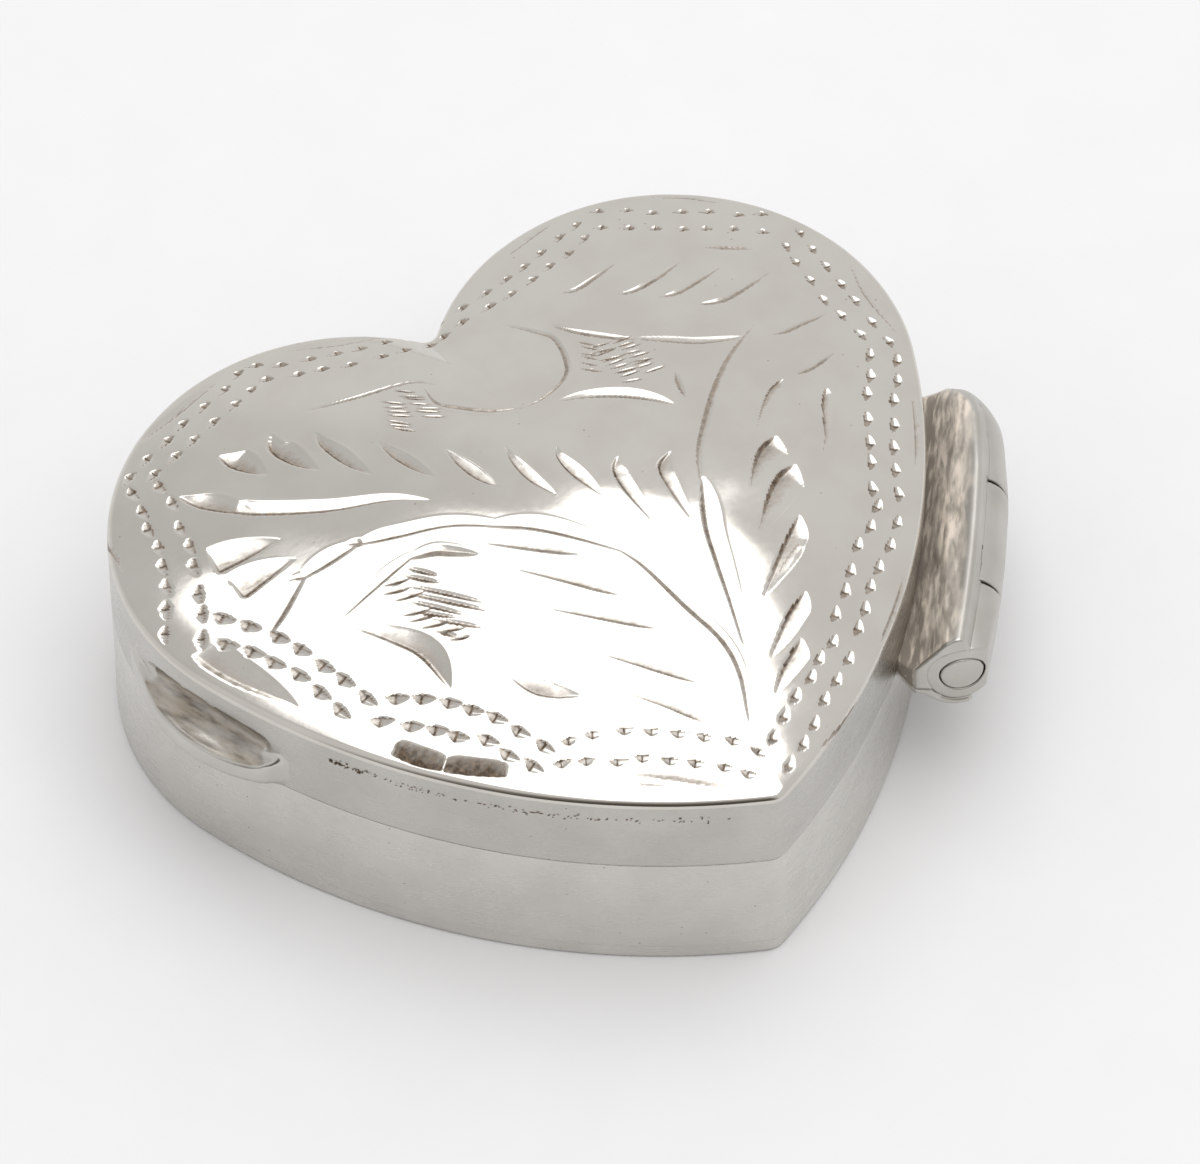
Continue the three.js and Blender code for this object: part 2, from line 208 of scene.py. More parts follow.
def make_piece(name, points, quads, material, body, node, tarnish_and_shade=0.0, sharp=None):
    """A mesh from points in millimetres, riding a body in place of a CAD node."""
    a, b, c, d = (points[quads[:, k]] for k in range(4))
    volume = (a * (np.cross(b, c) + np.cross(c, d))).sum()
    if volume < 0:
        quads = quads[:, ::-1]
    mesh = bpy.data.meshes.new(name)
    mesh.vertices.add(len(points))
    mesh.vertices.foreach_set("co", (points * MM).astype(np.float32).ravel())
    mesh.loops.add(4 * len(quads))
    mesh.loops.foreach_set("vertex_index", quads.astype(np.int32).ravel())
    mesh.polygons.add(len(quads))
    mesh.polygons.foreach_set("loop_start", np.arange(0, 4 * len(quads), 4, dtype=np.int32))
    mesh.update(calc_edges=True)
    mesh.validate()
    mesh.shade_smooth()
    if sharp:
        mesh.set_sharp_from_angle(angle=sharp)
    shade = mesh.attributes.new("tarnish_and_shade", "FLOAT", "POINT")
    shade.data.foreach_set("value", np.full(len(points), tarnish_and_shade, dtype=np.float32))
    mesh.materials.append(material)
    piece = bpy.data.objects.new(name, mesh)
    bpy.context.scene.collection.objects.link(piece)
    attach(piece, body)
    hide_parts(node)


def ring_quads(rings, count, closed):
    """Quads between rings of count points each; closed joins the last ring to the first."""
    i = np.arange(count)
    following = (i + 1) % count
    quads = []
    for r in range(rings if closed else rings - 1):
        here = r * count
        there = ((r + 1) % rings) * count
        quads.append(np.column_stack((here + i, here + following, there + following, there + i)))
    return np.vstack(quads)


def capped_quads(rings, count):
    """Quads between rings, with the small first and last rings closed by strips from side to side."""
    i = np.arange(count // 2 - 1)
    strip = np.column_stack((i, i + 1, count - 2 - i, count - 1 - i))
    return np.vstack((ring_quads(rings, count, False), strip[:, ::-1], strip + (rings - 1) * count))


def rounded(corners, rounds):
    """A closed polygon with each corner rounded by its own amount, and its long sides divided."""
    corners = np.asarray(corners, dtype=float)
    turns = []
    for k, corner in enumerate(corners):
        before = corners[k - 1] - corner
        after = corners[(k + 1) % len(corners)] - corner
        start = corner + before * rounds[k] / np.linalg.norm(before)
        end = corner + after * rounds[k] / np.linalg.norm(after)
        t = np.linspace(0, 1, ROUND_STEPS)[:, None]
        turns.append((1 - t) ** 2 * start + 2 * t * (1 - t) * corner + t ** 2 * end)
    outline = []
    for k, turn in enumerate(turns):
        gap = turns[(k + 1) % len(turns)][0] - turn[-1]
        parts = max(int(np.linalg.norm(gap) / PROFILE_STEP), 1)
        shares = np.arange(1, parts)[:, None] / parts
        outline.extend((turn, turn[-1] + gap * shares))
    return np.vstack(outline)


def band(outer, inner, bottom, top, rounds, spacing):
    """Points and quads of a strip round the heart; rounds go from the outer bottom edge up and in."""
    profile = rounded(((outer, bottom), (outer, top), (inner, top), (inner, bottom)), rounds)
    rings = [at_height(heart(inset, spacing), height) for inset, height in profile]
    return np.vstack(rings), ring_quads(len(rings), len(rings[0]), True)


def smooth_step(low, high, value):
    t = np.clip((value - low) / (high - low), 0, 1)
    return t * t * (3 - 2 * t)


def dome_point(rim, share):
    """Plan place on the dome for each rim point, from the top at share 0 to the rim at share 1."""
    ray = rim - DOME_CENTRE
    reach = np.linalg.norm(ray, axis=1)[:, None]
    heart_share = share ** 2 * (2 - share ** 2)
    length = DOME_ROUND_RADIUS + (reach - DOME_ROUND_RADIUS) * heart_share
    return DOME_CENTRE + ray / reach * share * length


def foot_plate():
    """The floor sheet, with a worn lower edge."""
    shares = np.linspace(MIDDLE_SHARE, 1, ROUND_STEPS, endpoint=False)
    turn = np.linspace(0, math.pi / 2, ROUND_STEPS)
    edge = heart(FOOT_ROUND, WALL_SPACING)
    rings = [at_height(dome_point(edge, share), 0) for share in shares]
    for angle in turn:
        outline = heart(FOOT_ROUND * (1 - math.sin(angle)), WALL_SPACING)
        rings.append(at_height(outline, FOOT_ROUND * (1 - math.cos(angle))))
    rings.append(at_height(heart(0, WALL_SPACING), FLOOR_THICKNESS))
    rings.extend(at_height(dome_point(edge, share), FLOOR_THICKNESS) for share in shares[::-1])
    return np.vstack(rings), capped_quads(len(rings), len(edge))


# Ways of cutting: the steep side's share of the width, how blunt the ends are, the steep side's stain,
# the painted shade that fades out over the broad side, how fast it fades, and the depth as a share of
# the width.
Graver = namedtuple("Graver", "steep taper stain fade fading depth")
LEAF = Graver(0.14, 0.8, 0.75, 0.58, 1.0, 0.12)
BLADE = Graver(0.2, 0.6, 0.65, 0.42, 1.5, 0.11)
LINE = Graver(0.5, 0.5, 0.58, 0.45, 1.0, 0.14)
SLOT = Graver(0.16, 0.4, 0.6, 0.35, 1.0, 0.09)
DARK_SLOT = Graver(0.14, 0.1, 0.1, 0.8, 0.2, 0.42)
VEIN = Graver(0.3, 0.7, 0.6, 0.55, 1.0, 0.11)
FISH = Graver(0.16, 0.7, 0.55, 0.55, 0.5, 0.2)
SCRATCH = Graver(0.5, 0.6, 0.75, 0.6, 1.0, 0.18)
FACET = Graver(0.16, 0.7, 0.6, 0.45, 1.0, 0.042)

# Each cut: graver, width, the share of its length where it is widest, and points along its deepest line.
# The steep side is on the right of its direction and the broad side on the left, as one hand cuts.
CUTS = (
    # Row of leaves across the lid
    (LEAF, 1.05, 0.4, ((-10.0, 5.0), (-9.9, 4.4), (-9.6, 3.8), (-9.05, 3.0))),
    (LEAF, 0.95, 0.45, ((-7.9, 4.75), (-8.25, 4.0), (-8.0, 3.0), (-7.4, 2.0))),
    (LEAF, 0.65, 0.5, ((-6.5, 3.8), (-6.65, 3.0), (-6.4, 1.7), (-5.9, 0.6))),
    (LEAF, 0.52, 0.5, ((-4.85, 1.9), (-4.8, 1.0), (-4.5, 0.0), (-4.05, -0.95))),
    (LEAF, 0.55, 0.55, ((-3.0, 0.1), (-2.98, -0.9), (-2.75, -1.9), (-2.3, -2.8))),
    (LEAF, 0.5, 0.5, ((-1.1, -1.1), (-1.25, -2.0), (-1.15, -3.1), (-0.7, -4.3))),
    (LEAF, 0.6, 0.5, ((0.55, -2.15), (0.3, -2.7), (0.35, -3.7), (0.75, -5.1))),
    (LEAF, 0.6, 0.3, ((2.25, -3.75), (1.8, -4.3), (1.68, -5.3), (1.8, -7.0))),
    (LEAF, 0.6, 0.25, ((4.15, -4.45), (3.4, -4.95), (3.2, -6.0), (3.15, -7.6))),
    # Long feather on the left lobe
    (LEAF, 0.85, 0.45, ((-12.25, 4.2), (-11.9, 3.4), (-11.1, 2.4), (-10.2, 1.6))),
    (BLADE, 0.75, 0.1, ((-11.2, 2.5), (-10.0, 1.42), (-8.0, 0.1), (-6.0, -0.85), (-4.75, -1.8))),
    # Two fans on the left lobe
    (LEAF, 1.35, 0.05, ((-12.8, 0.22), (-11.6, 0.1), (-10.2, 0.0))),
    (LINE, 0.22, 0.3, ((-12.7, 0.5), (-11.8, 0.27), (-11.0, 0.15))),
    (LEAF, 1.35, 0.05, ((-12.6, -1.35), (-11.5, -1.22), (-10.2, -1.1))),
    (LINE, 0.22, 0.3, ((-12.55, -1.08), (-11.7, -1.05), (-10.9, -1.06))),
    # Big scroll down to the point
    (BLADE, 0.8, 0.35, ((-12.6, -3.4), (-11.5, -2.75), (-10.3, -2.02))),
    (BLADE, 0.7, 0.5, ((-10.5, -2.05), (-9.2, -2.0), (-7.85, -1.93))),
    (LINE, 0.3, 0.8, ((-10.75, -1.82), (-10.5, -1.92), (-10.25, -2.05))),
    (LINE, 0.42, 0.7, ((-8.3, -1.7), (-8.05, -1.8), (-7.75, -1.98))),
    (BLADE, 0.62, 0.2, ((-8.0, -1.93), (-6.5, -2.5), (-5.0, -3.05), (-3.9, -3.75), (-2.6, -4.9))),
    (BLADE, 0.72, 0.4, ((-3.6, -3.98), (-2.2, -5.05), (-1.0, -6.3), (0.25, -7.8))),
    (LINE, 0.42, 0.45, (
        (-0.1, -7.2), (0.5, -8.5), (1.05, -10.8), (1.5, -12.6), (1.35, -14.2), (0.55, -16.1),
    )),
    # Crescents inside the scroll
    (BLADE, 0.45, 0.6, ((-10.1, -4.42), (-8.8, -4.1), (-7.4, -3.78), (-6.2, -3.58))),
    (LINE, 0.55, 0.4, ((-6.7, -3.62), (-5.8, -3.85), (-5.2, -4.3), (-4.5, -4.95))),
    (LEAF, 0.95, 0.62, ((-9.95, -4.9), (-9.0, -6.3), (-8.4, -7.5), (-8.25, -9.3))),
    # Veins of the scroll
    (VEIN, 0.5, 0.7, ((-4.05, -4.65), (-2.8, -5.75), (-1.3, -7.0))),
    (VEIN, 0.5, 0.75, ((-3.8, -6.15), (-2.3, -7.75), (-0.95, -9.25))),
    (VEIN, 0.5, 0.75, ((-3.85, -8.05), (-2.0, -9.75), (-0.4, -11.2))),
    (VEIN, 0.5, 0.75, ((-3.15, -10.6), (-1.6, -12.3), (-0.25, -13.85))),
    (VEIN, 0.5, 0.75, ((-2.95, -12.65), (-1.8, -14.0), (-0.85, -15.35))),
    (FISH, 0.72, 0.45, ((-6.15, -10.0), (-5.75, -10.9), (-5.2, -11.5), (-4.3, -12.1))),
    # Loop in the middle and the lines beside it
    (LINE, 0.27, 0.5, ((2.2, 4.85), (3.0, 3.7), (3.45, 2.7), (2.9, 0.95), (1.5, 0.25), (0.2, 0.2))),
    (LINE, 0.27, 0.4, ((0.5, 0.2), (-0.6, 0.75), (-1.5, 1.6), (-2.08, 2.4), (-2.0, 3.5))),
    (LINE, 0.24, 0.5, ((-6.4, 5.0), (-4.3, 4.45), (-2.3, 4.0), (-1.4, 3.2))),
    (BLADE, 0.6, 0.6, ((1.6, -0.15), (2.8, -0.52), (4.0, -1.15), (4.9, -1.85), (5.6, -2.6))),
    (LINE, 0.3, 0.5, ((6.5, -1.0), (6.28, -1.6), (6.1, -2.4))),
    (LINE, 0.34, 0.5, ((3.7, 3.65), (4.3, 2.8), (5.2, 1.9), (6.2, 1.1))),
    (BLADE, 0.45, 0.5, ((5.7, 1.5), (7.0, 0.6), (8.2, -0.12), (9.95, -0.62))),
    # Stem on the right and its leaves
    (LINE, 0.36, 0.55, ((10.7, -0.1), (9.0, -1.1), (7.6, -2.25), (6.2, -3.7), (5.1, -5.0), (4.3, -6.5))),
    (BLADE, 0.75, 0.25, ((4.6, -6.0), (3.6, -8.0), (3.1, -9.6), (2.6, -11.4), (2.05, -13.2))),
    (LEAF, 1.1, 0.2, ((8.2, -5.45), (7.4, -5.8), (6.8, -6.3), (6.0, -7.2))),
    (LEAF, 1.15, 0.2, ((8.15, -6.9), (7.3, -7.2), (6.4, -7.9), (5.2, -9.1))),
    (LEAF, 0.8, 0.25, ((7.05, -9.0), (6.3, -9.6), (5.2, -10.5), (3.85, -11.65))),
    (SLOT, 0.45, 0.3, ((6.5, -10.05), (5.7, -10.5), (4.6, -11.2))),
    (LEAF, 0.7, 0.25, ((5.45, -12.05), (4.5, -12.6), (3.7, -13.2), (2.7, -14.0))),
    (LEAF, 0.7, 0.22, ((4.2, -13.8), (3.3, -14.35), (2.7, -14.8), (2.05, -15.4))),
    # Loose leaves on the right lobe
    (LINE, 0.32, 0.4, ((4.9, 5.05), (5.5, 4.87), (6.3, 5.0), (7.65, 5.38))),
    (LINE, 0.32, 0.4, ((6.6, 3.78), (7.4, 3.62), (8.4, 3.78), (9.9, 4.18))),
    (LINE, 0.32, 0.4, ((8.0, 2.83), (8.7, 2.7), (9.6, 2.85), (11.05, 3.18))),
    (LINE, 0.34, 0.4, ((9.05, 1.78), (10.0, 1.55), (11.0, 1.7), (12.6, 2.1))),
    (LINE, 0.3, 0.4, ((10.7, -0.85), (11.4, -0.95), (12.3, -0.85), (13.5, -0.75))),
    (LINE, 0.3, 0.5, ((12.7, 3.45), (11.8, 3.95), (11.0, 4.42))),
    (LINE, 0.3, 0.4, ((10.55, -3.05), (11.4, -2.95), (12.6, -2.62))),
    (LEAF, 0.4, 0.15, ((10.0, -3.05), (9.2, -3.4), (8.5, -4.0), (7.65, -4.9))),
    (LEAF, 0.42, 0.12, ((11.3, -4.05), (10.7, -4.8), (10.0, -6.1), (9.2, -7.1))),
    # Slots between the border and the rim
    (SLOT, 0.45, 0.5, ((-11.9, 7.6), (-10.0, 8.0), (-8.0, 8.6))),
    (SLOT, 0.45, 0.5, ((-5.0, 8.5), (-3.2, 7.7), (-1.2, 7.2))),
    (SLOT, 0.35, 0.5, ((4.4, 8.2), (5.8, 8.6), (7.0, 8.9))),
    (SLOT, 0.4, 0.5, ((10.9, 8.1), (12.0, 7.4), (13.0, 6.5))),
    (SLOT, 0.45, 0.5, ((15.65, 1.2), (15.3, -0.6), (15.4, -2.7))),
    (SLOT, 0.55, 0.5, ((14.3, -5.5), (13.5, -7.0), (12.5, -8.6))),
    (SLOT, 0.55, 0.5, ((9.4, -12.7), (8.2, -13.9), (6.9, -15.0))),
    (SLOT, 0.45, 0.5, ((5.2, -16.5), (3.9, -17.3), (2.4, -18.0))),
    (LINE, 0.45, 0.55, ((-4.45, -15.5), (-3.5, -16.1), (-2.4, -16.95), (-1.3, -17.95))),
    (LINE, 0.2, 0.5, ((-4.7, -15.7), (-3.9, -16.3), (-2.9, -16.95))),
    (DARK_SLOT, 0.75, 0.4, ((-11.25, -10.1), (-10.75, -10.9), (-10.05, -11.7))),
    (DARK_SLOT, 0.7, 0.3, ((-10.0, -11.75), (-9.2, -12.45), (-8.2, -13.2))),
    (FACET, 1.25, 0.18, ((-15.3, -2.4), (-14.6, -4.2), (-13.2, -6.6))),
    (SLOT, 0.5, 0.5, ((-15.1, 5.0), (-15.4, 3.8), (-15.55, 2.4))),
)

# Hatched patches: first end, the stroke, the step to the next stroke, and how many strokes
HATCHES = (
    ((-3.75, 3.7), (0.85, -0.75), (-0.06, -0.24), 7),
    ((-3.05, 4.0), (0.85, -0.7), (0.02, -0.32), 7),
    ((4.1, 1.65), (1.05, -0.12), (0.03, -0.22), 11),
    ((5.1, 1.5), (1.0, -0.14), (0.02, -0.24), 9),
    ((4.05, 2.3), (0.6, -0.6), (-0.12, -0.26), 6),
)
# Strokes of the patch inside the scroll, each from end to end
STROKES = (
    ((-7.0, -3.9), (-6.2, -4.9)),
    ((-7.3, -4.1), (-6.3, -5.2)),
    ((-7.4, -4.55), (-5.3, -6.95)),
    ((-7.6, -4.8), (-5.3, -7.4)),
    ((-7.7, -5.15), (-6.2, -6.95)),
    ((-7.9, -5.55), (-6.5, -6.9)),
    ((-7.4, -6.3), (-5.9, -7.8)),
    ((-7.5, -6.8), (-6.9, -7.6)),
    ((-8.1, -4.1), (-7.1, -4.4)),
    ((-8.3, -4.4), (-7.3, -4.75)),
    ((-8.1, -4.9), (-6.95, -5.2)),
    ((-8.2, -5.6), (-7.1, -6.0)),
    ((-8.15, -5.95), (-6.95, -6.35)),
    ((-7.9, -6.45), (-6.8, -6.85)),
    ((-7.55, -6.9), (-6.45, -7.4)),
    ((-7.3, -7.45), (-6.5, -7.8)),
)
HATCH_WIDTH = 0.14
STROKE_WIDTH = 0.26
HATCH_PEAK = 0.55
HATCH_JITTER = 0.07

# Border scallops: the outer row's ends, the inner row's ends, how far both bow into the lid, mark size
SCALLOPS = (
    ((-7.2, 8.4), (-13.2, 6.2), (-7.3, 7.3), (-12.4, 5.7), 0.05, 0.8),
    ((-13.5, 5.4), (-15.6, -1.1), (-12.5, 5.0), (-14.7, -2.1), 0.45, 0.9),
    ((-14.0, -2.7), (-11.9, -7.6), (-13.6, -1.7), (-10.9, -7.8), 0.3, 1.0),
    ((-10.9, -8.9), (-7.2, -13.5), (-10.0, -8.4), (-6.4, -13.0), 0.45, 1.0),
    ((-6.3, -14.0), (-0.5, -17.9), (-5.5, -13.3), (0.3, -17.2), 0.45, 0.8),
    ((1.0, -18.2), (5.4, -15.1), (1.1, -16.9), (5.2, -14.2), 0.05, 0.8),
    ((6.4, -14.2), (10.3, -10.6), (5.9, -13.3), (10.1, -9.6), 0.1, 0.85),
    ((11.1, -9.4), (14.7, -3.8), (10.4, -8.8), (13.8, -3.2), 0.2, 0.85),
    ((14.8, -2.8), (14.9, 3.7), (13.9, -2.2), (13.9, 3.2), 0.2, 0.75),
    ((14.1, 5.1), (8.6, 8.5), (13.5, 4.3), (8.3, 7.5), 0.1, 0.7),
    ((7.6, 8.2), (0.6, 6.8), (7.4, 7.2), (0.3, 6.1), 0.4, 0.75),
    ((-0.6, 6.8), (-6.6, 8.5), (-0.3, 5.9), (-6.5, 7.5), 0.4, 0.75),
)
MARK_PITCH = 1.04
MARK_LENGTH = 1.0
MARK_WIDTH = 0.42
MARK_DEPTH = 0.085
MARK_TAPER = 0.6
MARK_DROP = 0.42  # share of a mark's length where it is deepest
MARK_HANG = 0.4  # how far a mark hangs to the rim's side of its row
MARK_BAR = 0.09
# Darkening of a punched mark: tarnish and painted shade on the line where its slopes meet, painted shade
# along its upper edge, stain on the nick, and stain with painted shade on the far slope.
BAR_STAIN_AND_SHADE = 0.8
EDGE_SHADE = 0.75
NICK_STAIN = 0.56
SLOPE_STAIN_AND_SHADE = 0.25
MARK_JITTER = 0.06

SPAN_STEPS = 12
BURR_HEIGHT = 0.007
BURR_WIDTH = 0.06
RIPPLE_HEIGHT = 0.004
RIPPLES = ((1.1, 0.4, 0.7), (0.5, -1.3, 2.1), (1.9, 1.5, 0.0))


def curve(points):
    """A smooth line through points, with even steps in each span."""
    points = np.asarray(points, dtype=float)
    padded = np.vstack((2 * points[0] - points[1], points, 2 * points[-1] - points[-2]))
    t = np.linspace(0, 1, SPAN_STEPS, endpoint=False)[:, None]
    line = []
    for a, b, c, d in zip(padded, padded[1:], padded[2:], padded[3:]):
        line.append(b + 0.5 * t * (c - a + t * (2 * a - 5 * b + 4 * c - d + t * (3 * (b - c) + d - a))))
    return np.vstack((*line, points[-1:]))


def along_line(plan, line):
    """For each place, the share of the line's length nearest to it and how far left of it it lies."""
    steps = np.diff(line, axis=0)
    lengths = np.linalg.norm(steps, axis=1)
    travelled = np.concatenate(((0,), np.cumsum(lengths)))
    best = np.full(len(plan), np.inf)
    share = np.zeros(len(plan))
    side = np.zeros(len(plan))
    for start, step, length, before in zip(line, steps, lengths, travelled):
        away = plan - start
        t = np.clip(away @ step / length ** 2, 0, 1)
        offset = away - t[:, None] * step
        distance = np.hypot(offset[:, 0], offset[:, 1])
        closer = distance < best
        turn = step[0] * away[:, 1] - step[1] * away[:, 0]
        best = np.where(closer, distance, best)
        share = np.where(closer, (before + t * length) / travelled[-1], share)
        side = np.where(closer, np.sign(turn) * distance, side)
    return share, side


class Engraving:
    """The lid's engraving at each place of its plan: depth, raised burr, and dirt with painted shade."""

    def __init__(self, plan):
        self.plan = plan
        self.depth = np.zeros(len(plan))
        self.burr = np.zeros(len(plan))
        self.dirt_and_shade = np.zeros(len(plan))

    def cut(self, graver, width, peak, points):
        line = curve(points)
        inside = (self.plan > line.min(axis=0) - width) & (self.plan < line.max(axis=0) + width)
        near = np.flatnonzero(np.all(inside, axis=1))
        share, side = along_line(self.plan[near], line)
        ends = np.minimum(share / peak, (1 - share) / (1 - peak))
        swell = np.sin(math.pi / 2 * ends) ** graver.taper
        steep = np.maximum(graver.steep * width * swell, TINY)
        broad = np.maximum((1 - graver.steep) * width * swell, TINY)
        rise = np.clip(1 - np.where(side < 0, -side / steep, side / broad), 0, 1)
        self.keep(self.depth, near, graver.depth * width * swell * rise)
        self.keep(self.burr, near, BURR_HEIGHT * swell * np.exp(-((side - broad) / BURR_WIDTH) ** 2))
        # The steep side's stain is tarnish in the groove; the darkening over the broad side, fading away
        # from the groove, is painted shade.
        stain = np.where(side < 0, graver.stain * (rise > 0), graver.fade * rise ** graver.fading)
        self.keep(self.dirt_and_shade, near, stain * np.sqrt(swell))

    def mark(self, centre, heading, size):
        """A punched mark with painted shade along its upper edge, and a dark line of tarnish and painted
        shade where its two slopes meet.
        """
        length = MARK_LENGTH * size
        near = np.flatnonzero(np.all(np.abs(self.plan - centre) < length, axis=1))
        away = self.plan[near] - centre
        along = away @ heading / length + 0.5
        across = (heading[0] * away[:, 1] - heading[1] * away[:, 0]) / (MARK_WIDTH * size / 2)
        rise = np.maximum(np.minimum(along / MARK_DROP, (1 - along) / (1 - MARK_DROP)), 0)
        up = across / np.maximum(rise ** MARK_TAPER, TINY) + MARK_HANG
        dish = np.clip(1 - up ** 2, 0, 1)
        self.keep(self.depth, near, MARK_DEPTH * size * rise * np.sqrt(dish))
        # Painted shade: the dark line where the slopes meet (with tarnish), the dark upper edge, and the
        # far slope's darkening (with stain).
        bar = BAR_STAIN_AND_SHADE * np.exp(-((along - MARK_DROP) / MARK_BAR) ** 2)
        edge = EDGE_SHADE * smooth_step(0, 1, up)
        slope = np.where(along < MARK_DROP, NICK_STAIN, SLOPE_STAIN_AND_SHADE)
        self.keep(self.dirt_and_shade, near, np.maximum.reduce((bar, edge, slope)) * (dish > 0))

    def keep(self, values, near, new):
        values[near] = np.maximum(values[near], new)


def border_row(start, end, bow):
    """Places and directions of the marks of one scallop."""
    start = np.array(start)
    span = np.array(end) - start
    length = np.linalg.norm(span)
    inward = np.array((-span[1], span[0])) / length
    count = int(round(length / MARK_PITCH)) + 1
    for share in np.linspace(0, 1, count):
        place = start + span * share + inward * bow * 4 * share * (1 - share)
        heading = span / length + inward * bow * 4 * (1 - 2 * share) / length
        yield place + rng.normal(0, MARK_JITTER, 2), heading / np.linalg.norm(heading)


def engraved(plan):
    work = Engraving(plan)
    for graver, width, peak, points in CUTS:
        work.cut(graver, width, peak, points)
    for first, stroke, step, strokes in HATCHES:
        for k in range(strokes):
            start = np.array(first) + np.array(step) * k + rng.normal(0, HATCH_JITTER, 2)
            end = start + np.array(stroke) + rng.normal(0, HATCH_JITTER, 2)
            work.cut(SCRATCH, HATCH_WIDTH, HATCH_PEAK, (start, (start + end) / 2, end))
    for ends in STROKES:
        work.cut(SCRATCH, STROKE_WIDTH, HATCH_PEAK, ends)
    for outer_start, outer_end, inner_start, inner_end, bow, size in SCALLOPS:
        for start, end in ((outer_start, outer_end), (inner_start, inner_end)):
            for place, heading in border_row(start, end, bow):
                work.mark(place, heading, size)
    return work


def ripple(plan):
    """Slight waves that hammering left in the sheet."""
    return RIPPLE_HEIGHT * sum(np.sin(plan @ np.array((a, b)) + c) for a, b, c in RIPPLES)


def lid_top():
    """The engraved dome, its rounded rim, and its smooth underside."""
    rim = heart(0, LID_SPACING)
    count = len(rim)
    turn = np.linspace(0, math.pi / 2, RIM_RINGS + 1)[1:]
    shares = np.concatenate((
        np.linspace(MIDDLE_SHARE, RIM_SHARE, LID_RINGS),
        RIM_SHARE + (1 - RIM_SHARE) * np.sin(turn),
    ))
    plan = np.vstack([dome_point(rim, share) for share in shares])
    levels = np.repeat(RIM_HEIGHT + DOME_RISE * (1 - shares ** 2), count)
    reach = np.linalg.norm(rim - DOME_CENTRE, axis=1)
    inset = np.tile(reach, len(shares)) - np.linalg.norm(plan - DOME_CENTRE, axis=1)
    edge = np.clip(RIM_ROUND - inset, 0, RIM_ROUND)
    drop = RIM_ROUND - np.sqrt(RIM_ROUND ** 2 - edge ** 2)
    work = engraved(plan)
    outer = np.column_stack((plan, levels + ripple(plan) - work.depth + work.burr - drop))
    inner_rim = heart(LID_WALL_THICKNESS, LID_SPACING)
    rings = [outer, at_height(rim, LID_WALL_TOP)]
    for share in np.linspace(1, MIDDLE_SHARE, INNER_RINGS):
        level = LID_WALL_TOP + DOME_RISE * (1 - share ** 2)
        rings.append(at_height(dome_point(inner_rim, share), level))
    points = np.vstack(rings)
    # Tarnish in the cuts, with painted shade on the cuts' broad sides and in the punched marks.
    tarnish_and_shade = np.concatenate((work.dirt_and_shade, np.zeros(len(points) - len(outer))))
    return points, capped_quads(len(points) // count, count), tarnish_and_shade


def round_max(a, b, radius):
    """Where two solids overlap, with the edge between them rounded."""
    outside = np.hypot(np.maximum(a + radius, 0), np.maximum(b + radius, 0))
    return np.minimum(np.maximum(a, b), -radius) + outside


def round_min(a, b, radius):
    """Two solids joined, with the corner between them filled."""
    inside = np.hypot(np.maximum(radius - a, 0), np.maximum(radius - b, 0))
    return np.maximum(np.minimum(a, b), radius) - inside


SLOPE_STEP = 0.01
LEAST_SLOPE = 0.1
SETTLING_STEPS = 3


def settled(points, field):
    """Points moved onto the surface where field is zero."""
    for _ in range(SETTLING_STEPS):
        slope = np.column_stack([
            (field(*(points + unit).T) - field(*(points - unit).T)) / (2 * SLOPE_STEP)
            for unit in SLOPE_STEP * np.eye(3)
        ])
        size = np.maximum((slope ** 2).sum(axis=1), LEAST_SLOPE)
        move = np.clip(field(*points.T) / size, -FIELD_STEP / 2, FIELD_STEP / 2)
        points = points - slope * move[:, None]
    return points


WHOLE = slice(None)
BEFORE = slice(None, -1)
AFTER = slice(1, None)
INNER = slice(1, -1)


def slices(axis, along, across):
    """One slice along an axis of a grid, and another across it."""
    return tuple(along if k == axis else across for k in range(3))


def surface(field, low, high):
    """Points and quads where field is zero: one point in each grid cell that the surface crosses."""
    axes = [np.arange(a, b + FIELD_STEP, FIELD_STEP) for a, b in zip(low, high)]
    grid = np.stack(np.meshgrid(*axes, indexing="ij"), axis=-1)
    values = field(*np.moveaxis(grid, -1, 0))
    inside = values < 0
    cells = tuple(n - 1 for n in values.shape)
    total = np.zeros(cells + (3,))
    hits = np.zeros(cells)
    for axis in range(3):
        first = slices(axis, BEFORE, WHOLE)
        second = slices(axis, AFTER, WHOLE)
        crossed = inside[first] != inside[second]
        gap = np.where(crossed, values[first] - values[second], 1)
        t = (values[first] / gap)[..., None]
        place = np.where(crossed[..., None], grid[first] * (1 - t) + grid[second] * t, 0)
        others = [k for k in range(3) if k != axis]
        for shift in ((0, 0), (0, 1), (1, 0), (1, 1)):
            window = [slice(None)] * 3
            for other, move in zip(others, shift):
                window[other] = slice(move, move + cells[other])
            total += place[tuple(window)]
            hits += crossed[tuple(window)]
    filled = hits > 0
    number = np.full(cells, -1)
    number[filled] = np.arange(filled.sum())
    quads = []
    for axis in range(3):
        second = (axis + 1) % 3
        third = (axis + 2) % 3
        here = slices(axis, BEFORE, INNER)
        there = slices(axis, AFTER, INNER)
        crossed = inside[here] != inside[there]
        place = np.argwhere(crossed)
        outward = inside[here][crossed]
        corners = []
        for ahead, aside in ((1, 1), (0, 1), (0, 0), (1, 0)):
            cell = place.copy()
            cell[:, second] += ahead
            cell[:, third] += aside
            corners.append(number[tuple(cell.T)])
        quad = np.column_stack(corners)
        quads.append(np.where(outward[:, None], quad, quad[:, ::-1]))
    return settled(total[filled] / hits[filled][:, None], field), np.vstack(quads)


def wall_axes(centre, radius, bearing):
    """Origin, outward and along directions of a frame on a round wall."""
    out = np.array((math.cos(bearing), math.sin(bearing)))
    along = np.array((-math.sin(bearing), math.cos(bearing)))
    return np.array(centre) + radius * out, out, along


